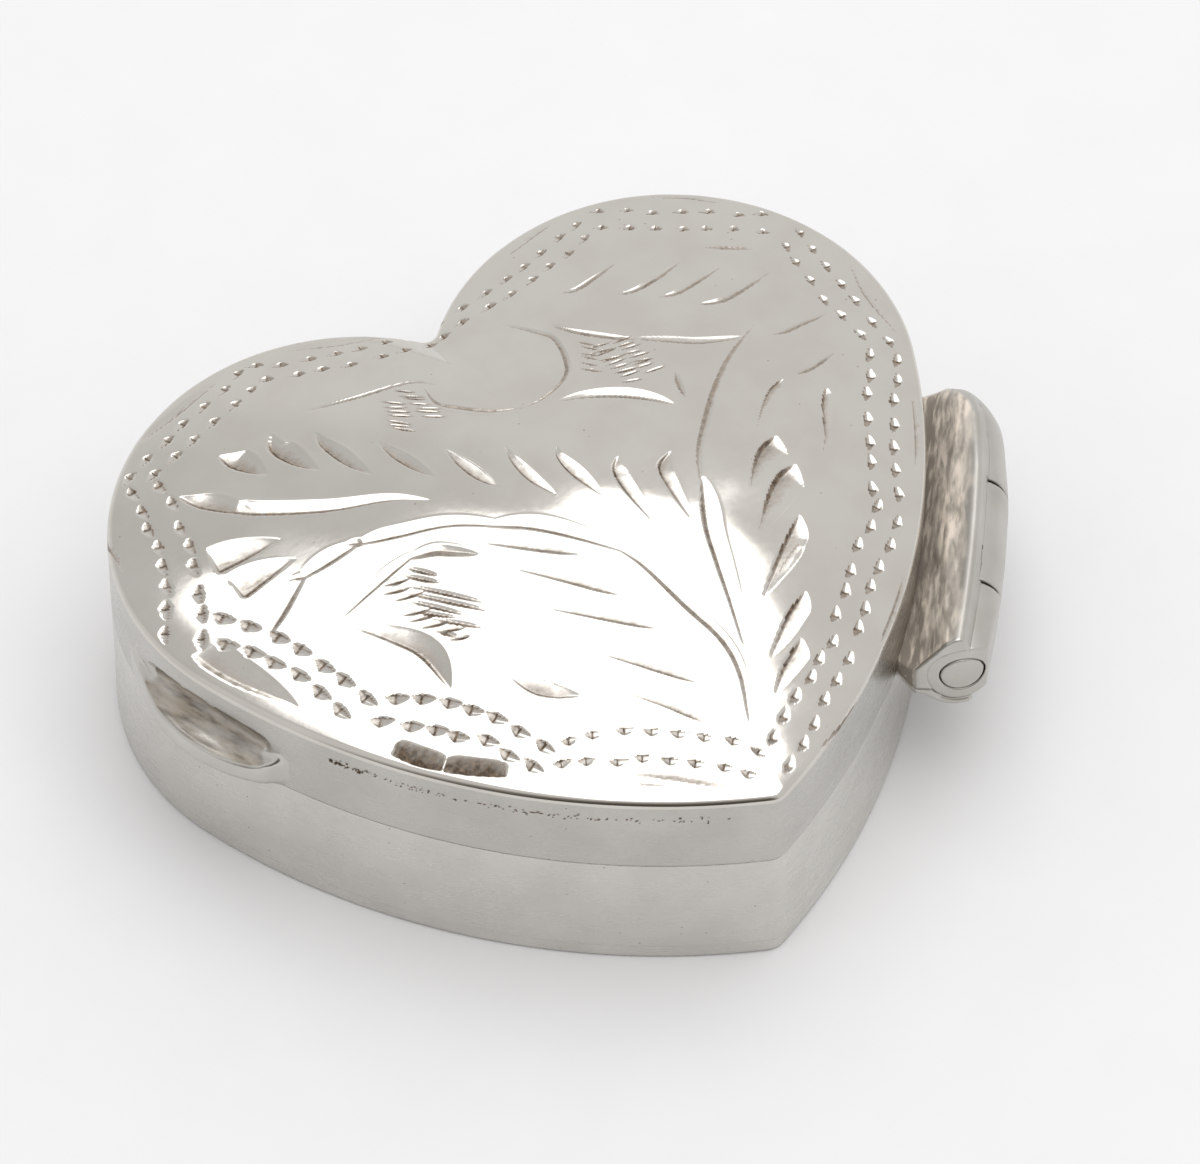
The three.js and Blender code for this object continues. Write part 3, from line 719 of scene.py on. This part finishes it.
def to_part(points, axes):
    origin, out, along = axes
    return np.column_stack((origin + points[:, :1] * out + points[:, 1:2] * along, points[:, 2]))


def to_wall(points, axes):
    origin, out, along = axes
    away = points[:, :2] - origin
    return np.column_stack((away @ out, away @ along, points[:, 2]))


HINGE_AXES = wall_axes(SIDE_CENTRE, SIDE_RADIUS, HINGE_BEARING)
THUMB_AXES = wall_axes((-LOBE_OFFSET, 0), LOBE_RADIUS, THUMB_BEARING)


def hinge_wall(x, y):
    """How far a local point is outside the wall that the hinge stands on."""
    return np.hypot(x + SIDE_RADIUS, y) - SIDE_RADIUS


def thumb_wall(x, y):
    """How far a local point is outside the left wall, round on the lobe and flatter on the side."""
    turn = math.pi + SIDE_ANGLE - THUMB_BEARING
    reach = SIDE_RADIUS - LOBE_RADIUS
    lobe = np.hypot(x + LOBE_RADIUS, y) - LOBE_RADIUS
    side = np.hypot(x + LOBE_RADIUS + reach * math.cos(turn), y + reach * math.sin(turn)) - SIDE_RADIUS
    return np.where(np.arctan2(y, x + LOBE_RADIUS) > turn, side, lobe)


def ellipsoid(x, y, z, end):
    """Roughly how far a point is outside an ellipsoid, counting only what lies beyond its centre."""
    (cx, cy, cz), (rx, ry, rz) = end
    across = np.maximum(x - cx, 0) / rx
    along = np.maximum((y - cy) * math.copysign(1, cy), 0) / ry
    up = np.maximum(z - cz, 0) / rz
    return (np.sqrt(across ** 2 + along ** 2 + up ** 2) - 1) * min(rx, ry)


def hinge_envelope(x, y, z):
    """The hinge's filed outline: a bowed outer side between two rounded ends."""
    bow = HINGE_REACH - HINGE_BOW * ((y - BOW_MIDDLE) / HINGE_HALF) ** 2
    ends = np.where(y < 0, ellipsoid(x, y, z, FRONT_END), ellipsoid(x, y, z, BACK_END))
    return round_max(x - bow, ends, filed_edge(y))


def filed_edge(y):
    """How much the filed edges are rounded: crisp at the front end, soft at the worn back end."""
    return FILED_EDGE + BACK_EDGE * smooth_step(*BACK_EDGE_RUN, y)


def axis_distance(x, z):
    return np.hypot(x - HINGE_AXIS[0], z - HINGE_AXIS[1])


def knuckle_field(span):
    def field(x, y, z):
        start, end = span
        radius = axis_distance(x, z)
        tube = round_max(radius - KNUCKLE_RADIUS, hinge_envelope(x, y, z), filed_edge(y))
        solid = round_max(tube, np.maximum(start - y, y - end), KNUCKLE_EDGE)
        return round_max(solid, BORE_RADIUS - radius, FILED_EDGE)
    return field


def pin_field(x, y, z):
    solid = round_max(axis_distance(x, z) - PIN_RADIUS, np.abs(y) - HINGE_HALF, FILED_EDGE)
    return round_max(solid, hinge_envelope(x, y, z), FILED_EDGE)


def half_plane(x, z, a, b):
    """Signed distance to the left of the line from a to b."""
    length = math.hypot(b[0] - a[0], b[1] - a[1])
    return ((b[0] - a[0]) * (z - a[1]) - (b[1] - a[1]) * (x - a[0])) / length


def foot_recess(x, y):
    """The front end falls back between the hinge and the wall."""
    return (FOOT_END[1] + FOOT_RECESS * (FOOT_END[0] - x) - y) / math.hypot(1, FOOT_RECESS)


def lid_bearer_field(x, y, z):
    radius = axis_distance(x, z)
    level = x + RIDGE_BOW * (y / HINGE_HALF) ** 2
    ridge = round_max(half_plane(level, z, *RIDGE_RISE), half_plane(level, z, *RIDGE_FALL), RIDGE_ROUND)
    ridge = np.maximum.reduce((ridge, half_plane(x, z, *FLANK), level - RIDGE_OUTER))
    foot = np.maximum(half_plane(x, z, *FOOT_SLOPE), x - HINGE_AXIS[0])
    solid = np.maximum(round_min(ridge, foot, TROUGH_ROUND), foot_recess(x, y))
    solid = round_max(solid, hinge_envelope(x, y, z), filed_edge(y))
    solid = np.maximum(solid, LID_BOTTOM - z)
    middle = (y > FRONT_KNUCKLE[1]) & (y < BACK_KNUCKLE[0])
    solid = np.maximum(solid, np.where(middle, SEAT_RADIUS, SOLDERED_SEAT) - radius)
    return np.maximum(solid, -SOLDER_DEPTH - hinge_wall(x, y))


def base_bearer_field(x, y, z):
    radius = axis_distance(x, z)
    middle = SEAT_RADIUS + GUTTER_THICKNESS / 2
    end = (math.cos(GUTTER_END), math.sin(GUTTER_END))
    beyond = (z - HINGE_AXIS[1]) * end[0] - (x - HINGE_AXIS[0]) * end[1]
    gutter = round_max(np.abs(radius - middle) - GUTTER_THICKNESS / 2, beyond, GUTTER_ROUND)
    tab = np.maximum(BASE_HEIGHT - GUTTER_THICKNESS - z, x - HINGE_AXIS[0])
    tab = np.maximum(tab, SEAT_RADIUS - radius)
    solid = round_min(gutter, tab, GUTTER_ROUND)
    solid = np.maximum(solid, z - BASE_HEIGHT)
    solid = np.maximum(round_max(solid, hinge_envelope(x, y, z), GUTTER_ROUND), foot_recess(x, y))
    return np.maximum(solid, -SOLDER_DEPTH - hinge_wall(x, y))


def scoop_field(x, y, z):
    """How far a local point is outside the scoop, a straight groove with a round near end."""
    across = (x - SCOOP_TILT * y - SCOOP_CENTRE[0]) / SCOOP_REACH[0]
    up = (z - SCOOP_CENTRE[1]) / SCOOP_REACH[1]
    along = np.maximum(y - SCOOP_END[0], 0) / SCOOP_END[1]
    return (np.sqrt(across ** 2 + up ** 2 + along ** 2) - 1) * SCOOP_REACH[1]


def thumb_field(x, y, z):
    """The lip, and an inlay in the wall that lines the scoop and runs out flush with the wall."""
    wall = thumb_wall(x, y)
    scoop = scoop_field(x, y, z)
    plan = np.hypot(x - THUMB_OUT + THUMB_BOW_RADIUS, y - THUMB_SHIFT) - THUMB_BOW_RADIUS
    plan = round_max(plan, y - THUMB_NOSE, NOSE_ROUND)
    lip = round_max(plan, THUMB_BOTTOM - z, THUMB_UNDER_ROUND)
    lip = round_max(lip, z - THUMB_TOP, THUMB_TOP_ROUND)
    skin = wall - INLAY_PROUD + INLAY_FALL * smooth_step(*INLAY_RUN, scoop)
    solid = round_max(round_min(lip, skin, THUMB_FILLET), -scoop, LIP_ROUND)
    sides = np.maximum(np.abs(y) - INLAY_HALF, np.abs(z - INLAY_LEVEL) - INLAY_RISE)
    return np.maximum.reduce((solid, sides, -INLAY_DEPTH - wall))


# Solder pits under the lid's rim
PIT_COUNT = 180
PIT_X = (-13.0, -1.5)
PIT_LEVEL = 8.5
PIT_SPREAD = 0.08
PIT_RADII = (0.03, 0.055)
PIT_DEPTH = 0.04
PIT_DRIFT = 2.2  # crowds the pits at the left end
PIT_EDGE = (0.5, 1.5)  # shares of its radius over which a pit rises to the wall
PIT_BAND = 5 * PIT_SPREAD


def solder_pits(points):
    """How strongly each point of the lid wall's left side is pitted."""
    pits = np.zeros(len(points))
    left = (points[:, 0] < 0) & (points[:, 1] < 0)
    near = np.flatnonzero(left & (np.abs(points[:, 2] - PIT_LEVEL) < PIT_BAND))
    places = PIT_X[0] + (PIT_X[1] - PIT_X[0]) * rng.random(PIT_COUNT) ** PIT_DRIFT
    levels = rng.normal(PIT_LEVEL, PIT_SPREAD, PIT_COUNT)
    radii = rng.uniform(*PIT_RADII, PIT_COUNT)
    for x, level, radius in zip(places, levels, radii):
        y = SIDE_CENTRE[1] - math.sqrt(SIDE_RADIUS ** 2 - (x + SIDE_CENTRE[0]) ** 2)
        away = np.linalg.norm(points[near] - (x, y, level), axis=1) / radius
        pits[near] = np.maximum(pits[near], 1 - smooth_step(*PIT_EDGE, away))
    return pits


# Tarnish on the lid's wall behind the hinge: its strength, and where it comes and goes
TROUGH_STAIN = 0.4
TROUGH_ENDS = (6.0, 7.0)
TROUGH_SIDE = (-1.5, -0.9)
TROUGH_TOP = (7.6, 8.7)

# What the scoop and the pits are cut into: the wall strip's outer part, on the thumb piece's side
OUTER_SKIN = LID_WALL_THICKNESS / 3
SCOOP_BEHIND = 2 * LID_WALL_THICKNESS


def lid_wall_marks(points):
    """The lid wall with the scoop and the solder pits cut in, and where it is tarnished."""
    local = to_wall(points, THUMB_AXES)
    wall = thumb_wall(local[:, 0], local[:, 1])
    up = (local[:, 2] - SCOOP_CENTRE[1]) / (SCOOP_REACH[1] + SCOOP_ROOM)
    along = np.maximum(local[:, 1] - SCOOP_END[0], 0) / (SCOOP_END[1] + SCOOP_ROOM)
    depth = np.sqrt(np.maximum(1 - up ** 2 - along ** 2, 0)) * (SCOOP_REACH[0] + SCOOP_ROOM)
    back = SCOOP_CENTRE[0] + SCOOP_TILT * local[:, 1] - depth
    outer = (wall > -OUTER_SKIN) & (local[:, 0] > -SCOOP_BEHIND)
    local[:, 0] -= np.where(outer, np.maximum(local[:, 0] - back, 0), 0)
    pits = np.where(wall > -OUTER_SKIN, solder_pits(points), 0)
    moved = to_part(local, THUMB_AXES)
    inward = np.array((SIDE_CENTRE[0], -SIDE_CENTRE[1])) + points[:, :2]
    moved[:, :2] -= inward * (PIT_DEPTH * pits / np.linalg.norm(inward, axis=1))[:, None]
    hinge = to_wall(points, HINGE_AXES)
    trough = 1 - smooth_step(*TROUGH_ENDS, np.abs(hinge[:, 1]))
    trough = trough * smooth_step(*TROUGH_SIDE, hinge[:, 0])
    trough = TROUGH_STAIN * trough * (1 - smooth_step(*TROUGH_TOP, points[:, 2]))
    return moved, np.maximum(trough, pits)


def link(tree, output, target):
    tree.links.new(output, target)


def map_range(tree, value, low, high, to_low, to_high):
    node = tree.nodes.new("ShaderNodeMapRange")
    limits = {"From Min": low, "From Max": high, "To Min": to_low, "To Max": to_high}
    for socket, limit in limits.items():
        node.inputs[socket].default_value = limit
    link(tree, value, node.inputs["Value"])
    return node.outputs["Result"]


def math_node(tree, operation, *values):
    node = tree.nodes.new("ShaderNodeMath")
    node.operation = operation
    for socket, value in zip(node.inputs, values):
        if isinstance(value, (int, float)):
            socket.default_value = value
        else:
            link(tree, value, socket)
    return node.outputs["Value"]


def dot_product(tree, vector, direction):
    node = tree.nodes.new("ShaderNodeVectorMath")
    node.operation = "DOT_PRODUCT"
    node.inputs[1].default_value = direction
    link(tree, vector, node.inputs[0])
    return node.outputs["Value"]


def noise(tree, place, scale, detail):
    node = tree.nodes.new("ShaderNodeTexNoise")
    node.inputs["Scale"].default_value = scale
    node.inputs["Detail"].default_value = detail
    link(tree, place, node.inputs["Vector"])
    return node.outputs["Fac"]


def ramp(tree, value, stops):
    """The colour that value picks on a ramp through stops, each a place and a colour."""
    node = tree.nodes.new("ShaderNodeValToRGB")
    elements = node.color_ramp.elements
    first, *between, last = stops
    for element, (place, colour) in zip(elements, (first, last)):
        element.position = place
        element.color = (*colour, 1)
    for place, colour in between:
        elements.new(place).color = (*colour, 1)
    link(tree, value, node.inputs["Fac"])
    return node.outputs["Color"]


# Dirt colours; on the lid and the thumb piece they also paint shade.
DARK_DIRT_AND_SHADE = (0.22, 0.165, 0.12)
WORN_DIRT_AND_SHADE = (0.40, 0.35, 0.29)
PALE_DIRT = (0.86, 0.765, 0.66)
DIRT_START = 0.24  # about the mask value where dirt and painted shade begin to show
DIRT_FULL = 0.76  # about the mask value where dirt and painted shade hide the metal
THICK_DIRT = -0.5  # moves thick dirt and deep painted shade to the dark end of its ramp
DIRT_PLACES = (0.06, 0.3)
DIRT_SHARES = (0.42, 1.05)
TARNISH_ROUGHNESS = 0.25
BUMP_HEIGHT = 0.00002
TONE_PLACES = (0.35, 0.62)

# Scale and detail of each noise
CLOUDS = (420, 6)
MOTTLE = (1500, 5)
GRIME = (2600, 6)
SCRATCHES = (1000, 4)
FIBRES = (300, 3)

SPECK_SCALE = 2500
SPECK_CHOICE = 0.8  # cells below this have no speck
SPECK_EDGE = (0.06, 0.12)
SPECK_STAIN = 0.6


def silver(
    name, tone, dull_tone, roughness, scratch, grain, bearing=0.0, dirt_and_shade_tone=DARK_DIRT_AND_SHADE, mottling=0.6,
):
    """Silver with cloudy tone and polish, fine scratches, specks, and tarnish and painted shade where
    the mesh says so.
    """
    material = bpy.data.materials.new(name)
    material.use_nodes = True
    tree = material.node_tree
    nodes = tree.nodes
    shader = nodes["Principled BSDF"]
    shader.inputs["Metallic"].default_value = 1.0
    place = nodes.new("ShaderNodeTexCoord").outputs["Object"]
    stretch = nodes.new("ShaderNodeMapping")
    stretch.vector_type = "TEXTURE"
    stretch.inputs["Rotation"].default_value = (0, 0, bearing)
    stretch.inputs["Scale"].default_value = grain
    link(tree, place, stretch.inputs["Vector"])
    brushed = stretch.outputs["Vector"]
    tones = ramp(tree, noise(tree, place, *CLOUDS), zip(TONE_PLACES, (dull_tone, tone)))
    link(tree, tones, shader.inputs["Base Color"])

    # The mesh's tarnish values also carry painted shade on the lid and the thumb piece.
    attribute = nodes.new("ShaderNodeAttribute")
    attribute.attribute_name = "tarnish_and_shade"
    tarnish_and_shade = attribute.outputs["Fac"]
    mottle = noise(tree, brushed, *MOTTLE)
    uneven = math_node(tree, "MULTIPLY_ADD", mottle, mottling, tarnish_and_shade)
    patchy = map_range(tree, uneven, DIRT_START + mottling / 2, DIRT_FULL + mottling / 2, 0.0, 1.0)
    cells = nodes.new("ShaderNodeTexVoronoi")
    cells.inputs["Scale"].default_value = SPECK_SCALE
    link(tree, place, cells.inputs["Vector"])
    chosen = math_node(tree, "GREATER_THAN", cells.outputs["Color"], SPECK_CHOICE)
    spots = map_range(tree, cells.outputs["Distance"], *SPECK_EDGE, SPECK_STAIN, 0.0)
    stained_and_shaded = math_node(tree, "MAXIMUM", patchy, math_node(tree, "MULTIPLY", chosen, spots))

    dirt_and_shade = nodes.new("ShaderNodeBsdfDiffuse")
    thin = math_node(tree, "MULTIPLY_ADD", tarnish_and_shade, THICK_DIRT, noise(tree, brushed, *GRIME))
    dirt_and_shade_tones = [[share * channel for channel in dirt_and_shade_tone] for share in DIRT_SHARES]
    link(tree, ramp(tree, thin, zip(DIRT_PLACES, dirt_and_shade_tones)), dirt_and_shade.inputs["Color"])
    layers = nodes.new("ShaderNodeMixShader")
    link(tree, stained_and_shaded, layers.inputs["Fac"])
    link(tree, shader.outputs["BSDF"], layers.inputs[1])
    link(tree, dirt_and_shade.outputs["BSDF"], layers.inputs[2])
    link(tree, layers.outputs["Shader"], nodes["Material Output"].inputs["Surface"])

    polish = map_range(tree, mottle, 0.0, 1.0, *roughness)
    rough = math_node(tree, "MULTIPLY_ADD", patchy, TARNISH_ROUGHNESS, polish)
    link(tree, rough, shader.inputs["Roughness"])

    bump = nodes.new("ShaderNodeBump")
    bump.inputs["Strength"].default_value = scratch
    bump.inputs["Distance"].default_value = BUMP_HEIGHT
    link(tree, noise(tree, brushed, *SCRATCHES), bump.inputs["Height"])
    link(tree, bump.outputs["Normal"], shader.inputs["Normal"])
    return material


LEVEL_GRAIN = (4.0, 4.0, 0.35)
LONG_GRAIN = (0.7, 2.6, 0.7)
EVEN_GRAIN = (0.5, 0.35, 0.5)

base_silver = silver(
    "silver_base", tone=(0.665, 0.647, 0.612), dull_tone=(0.62, 0.602, 0.566),
    roughness=(0.22, 0.34), scratch=0.12, grain=LEVEL_GRAIN,
)
# Painted shade: the lid wall's silver is given a darker tone than the base's, to darken the lid wall.
shaded_wall_silver = silver(
    "silver_wall", tone=(0.55, 0.535, 0.505), dull_tone=(0.51, 0.495, 0.465),
    roughness=(0.22, 0.34), scratch=0.12, grain=LEVEL_GRAIN,
)
lid_silver = silver(
    "silver_engraved", tone=(0.66, 0.632, 0.589), dull_tone=(0.625, 0.595, 0.55),
    mottling=0.45, roughness=(0.06, 0.13), scratch=0.05, grain=EVEN_GRAIN,
)
inside_silver = silver(
    "silver_inside", tone=(0.80, 0.79, 0.76), dull_tone=(0.70, 0.68, 0.64),
    roughness=(0.2, 0.34), scratch=0.2, grain=EVEN_GRAIN,
)
hinge_silver = silver(
    "silver_hinge", tone=(0.56, 0.542, 0.51), dull_tone=(0.49, 0.47, 0.435), dirt_and_shade_tone=PALE_DIRT,
    mottling=1.0, roughness=(0.26, 0.42), scratch=0.2, grain=LONG_GRAIN, bearing=HINGE_BEARING,
)
thumb_silver = silver(
    "silver_thumb", tone=(0.58, 0.563, 0.53), dull_tone=(0.53, 0.512, 0.478), dirt_and_shade_tone=WORN_DIRT_AND_SHADE,
    mottling=1.0, roughness=(0.12, 0.26), scratch=0.2, grain=LONG_GRAIN, bearing=THUMB_BEARING,
)

SHARP = math.radians(50)

points, quads, tarnish_and_shade = lid_top()
make_piece("engraved_top", points, quads, lid_silver, "lid", "lid_top", tarnish_and_shade)

points, quads = band(
    -FLUSH, LID_WALL_THICKNESS, LID_BOTTOM, RIM_HEIGHT - RIM_ROUND,
    (SEAM_ROUND, CRISP, CRISP, INNER_ROUND), LID_BAND_SPACING,
)
points, tarnish_and_shade = lid_wall_marks(points)
make_piece("lid_band", points, quads, shaded_wall_silver, "lid", "lid_wall", tarnish_and_shade, SHARP)

points, quads = band(
    0, WALL_THICKNESS, FLOOR_THICKNESS, BASE_HEIGHT, (CRISP, SEAM_ROUND, CRISP, CRISP), WALL_SPACING,
)
make_piece("base_band", points, quads, base_silver, "base", "base_wall", sharp=SHARP)

points, quads = foot_plate()
make_piece("foot_plate", points, quads, base_silver, "base", "base_floor", sharp=SHARP)

points, quads = band(
    WALL_THICKNESS, WALL_THICKNESS + BEZEL_THICKNESS, FLOOR_THICKNESS, BEZEL_TOP,
    (CRISP, INNER_ROUND, INNER_ROUND, CRISP), WALL_SPACING,
)
local = to_wall(points, HINGE_AXES)
relief = 1 - smooth_step(RELIEF_HALF, RELIEF_HALF + RELIEF_RUN, np.abs(local[:, 1]))
relief = relief * (local[:, 0] > -RELIEF_DEPTH)
lowered = (BASE_HEIGHT - FLOOR_THICKNESS) / (BEZEL_TOP - FLOOR_THICKNESS)
points[:, 2] = FLOOR_THICKNESS + (points[:, 2] - FLOOR_THICKNESS) * (1 - relief * (1 - lowered))
make_piece(
    "inner_band", points, quads, inside_silver, "base", "base_bezel", sharp=SHARP,
)

HINGE_LOW = (-1.6, -7.3, 4.2)
HINGE_HIGH = (3.8, 7.3, 9.2)
HINGE_PIECES = (
    ("front_tube", knuckle_field(FRONT_KNUCKLE), "lid", "lid_knuckle_front"),
    ("middle_tube", knuckle_field(BASE_KNUCKLE), "base", "base_knuckle"),
    ("back_tube", knuckle_field(BACK_KNUCKLE), "lid", "lid_knuckle_back"),
    ("pin", pin_field, "lid", "hinge_pin"),
    ("lid_ridge", lid_bearer_field, "lid", "lid_hinge_bearer"),
    ("base_gutter", base_bearer_field, "base", "base_hinge_bearer"),
)

# Tarnish in the hinge's hollow: its strength, and over which distances it comes and goes
HOLLOW_STAIN = 0.6
DEEP_STAIN = 0.3
FILED_RUN = (0.05, 0.2)
CORNER_RUN = (0.1, 0.4)
HOLLOW_RUN = (1.2, 2.1)
DEEP_RUN = (-0.1, 0.5)

for name, field, body, node in HINGE_PIECES:
    points, quads = surface(field, HINGE_LOW, HINGE_HIGH)
    x, y, z = points.T
    inside = smooth_step(*FILED_RUN, -hinge_envelope(x, y, z)) * (z > BASE_HEIGHT - GUTTER_THICKNESS / 2)
    corner = (1 - smooth_step(*CORNER_RUN, -foot_recess(x, y))) * (x < FOOT_END[0])
    hollow = HOLLOW_STAIN * (1 - smooth_step(*HOLLOW_RUN, x))
    hollow = hollow + DEEP_STAIN * (1 - smooth_step(*DEEP_RUN, x))
    tarnish_and_shade = inside * np.maximum(hollow, corner)
    points = to_part(points, HINGE_AXES)
    make_piece(name, points, quads, hinge_silver, body, node, tarnish_and_shade)

# Tarnish in the scoop, with painted shade at its ends and tarnish and painted shade along its top edge:
# its strength, how much more at its edges, and where it comes and goes
THUMB_LOW = (-2.1, -4.9, 5.5)
THUMB_HIGH = (1.4, 4.9, 8.9)
LIP_STAIN = 0.6
SCOOP_EDGE_STAIN_AND_SHADE = 0.42
NEAR_END_RUN = (2.7, 3.3)
FAR_END_RUN = (-3.6, -2.6)
TOP_EDGE_RUN = (7.75, 8.25)
LIP_RUN = (0.03, 0.08)

points, quads = surface(thumb_field, THUMB_LOW, THUMB_HIGH)
x, y, z = points.T
# Painted shade: darker at the scoop's ends, and along its deep top edge together with tarnish there.
ends = np.maximum(smooth_step(*NEAR_END_RUN, y), 1 - smooth_step(*FAR_END_RUN, y))
edge = np.maximum(smooth_step(*TOP_EDGE_RUN, z), ends)
tarnish_and_shade = (LIP_STAIN + SCOOP_EDGE_STAIN_AND_SHADE * edge) * (1 - smooth_step(*LIP_RUN, scoop_field(x, y, z)))
points = to_part(points, THUMB_AXES)
make_piece("thumb_lip", points, quads, thumb_silver, "lid", "thumb_piece", tarnish_and_shade)

# Studio floor: a sheet of pale paper
FLOOR_HALF = 1.5
PAPER_ROUGHNESS = 0.9
PAPER_SHADES = ((0, (0.79, 0.79, 0.795)), (1, (0.82, 0.82, 0.825)))

scene = bpy.context.scene
mesh = bpy.data.meshes.new("studio_floor")
corners = [(x * FLOOR_HALF, y * FLOOR_HALF, 0) for x, y in ((-1, -1), (1, -1), (1, 1), (-1, 1))]
mesh.from_pydata(corners, [], [(0, 1, 2, 3)])
floor = bpy.data.objects.new("studio_floor", mesh)
scene.collection.objects.link(floor)
paper = bpy.data.materials.new("studio_paper")
paper.use_nodes = True
tree = paper.node_tree
shader = tree.nodes["Principled BSDF"]
shader.inputs["Roughness"].default_value = PAPER_ROUGHNESS
shader.inputs["Specular IOR Level"].default_value = 0.0
fibres = noise(tree, tree.nodes.new("ShaderNodeTexCoord").outputs["Object"], *FIBRES)
link(tree, ramp(tree, fibres, PAPER_SHADES), shader.inputs["Base Color"])
mesh.materials.append(paper)

# The studio's light from its back, at place 0, to the dark side behind the camera, and a dimmer patch
# high up at the back left
CAMERA_SIDE = (-0.5, -0.866, 0)
STUDIO_SHADES = (
    (0, (0.86, 0.86, 0.86)),
    (0.83, (0.79, 0.785, 0.78)),
    (0.915, (0.28, 0.26, 0.24)),
    (0.98, (0.09, 0.078, 0.066)),
)
DIM_SIDE = (-0.3, 0.6, 0.74)
DIM_RUN = (0.80, 0.95)
DIM_STRENGTH = (1.0, 0.82)

world = bpy.data.worlds.new("studio")
world.use_nodes = True
scene.world = world
tree = world.node_tree
backdrop = tree.nodes["Background"]
toward = tree.nodes.new("ShaderNodeTexCoord").outputs["Generated"]
facing = map_range(tree, dot_product(tree, toward, CAMERA_SIDE), -1, 1, 0, 1)
link(tree, ramp(tree, facing, STUDIO_SHADES), backdrop.inputs["Color"])
dim = map_range(tree, dot_product(tree, toward, DIM_SIDE), *DIM_RUN, *DIM_STRENGTH)
link(tree, dim, backdrop.inputs["Strength"])

SOFTBOX_PLACE = (0.0825, -0.004, 0.6)
SOFTBOX_SIZE = (0.5, 0.78)
SOFTBOX_TURN = math.radians(-16)
SOFTBOX_POWER = 2.05

light = bpy.data.lights.new("softbox", "AREA")
light.shape = "RECTANGLE"
light.size, light.size_y = SOFTBOX_SIZE
light.energy = SOFTBOX_POWER
softbox = bpy.data.objects.new("softbox", light)
softbox.location = SOFTBOX_PLACE
softbox.rotation_euler = (0, 0, SOFTBOX_TURN)
scene.collection.objects.link(softbox)

# A long lens that looks almost along the hinge, as in the photograph
LENS = 282.27
SENSOR_WIDTH = 36
NEAR_CLIP = 0.01
EYE = (-112.807, -194.356, 285.208)
AIM = (1.317, -4.056, 5.0)

camera_data = bpy.data.cameras.new("camera")
camera_data.lens = LENS
camera_data.sensor_width = SENSOR_WIDTH
camera_data.sensor_fit = "HORIZONTAL"
camera_data.clip_start = NEAR_CLIP
camera = bpy.data.objects.new("camera", camera_data)
eye = Vector(EYE) * MM
aim = Vector(AIM) * MM
camera.location = eye
camera.rotation_euler = (aim - eye).to_track_quat("-Z", "Y").to_euler()
scene.collection.objects.link(camera)
scene.camera = camera
scene.view_settings.view_transform = "Standard"
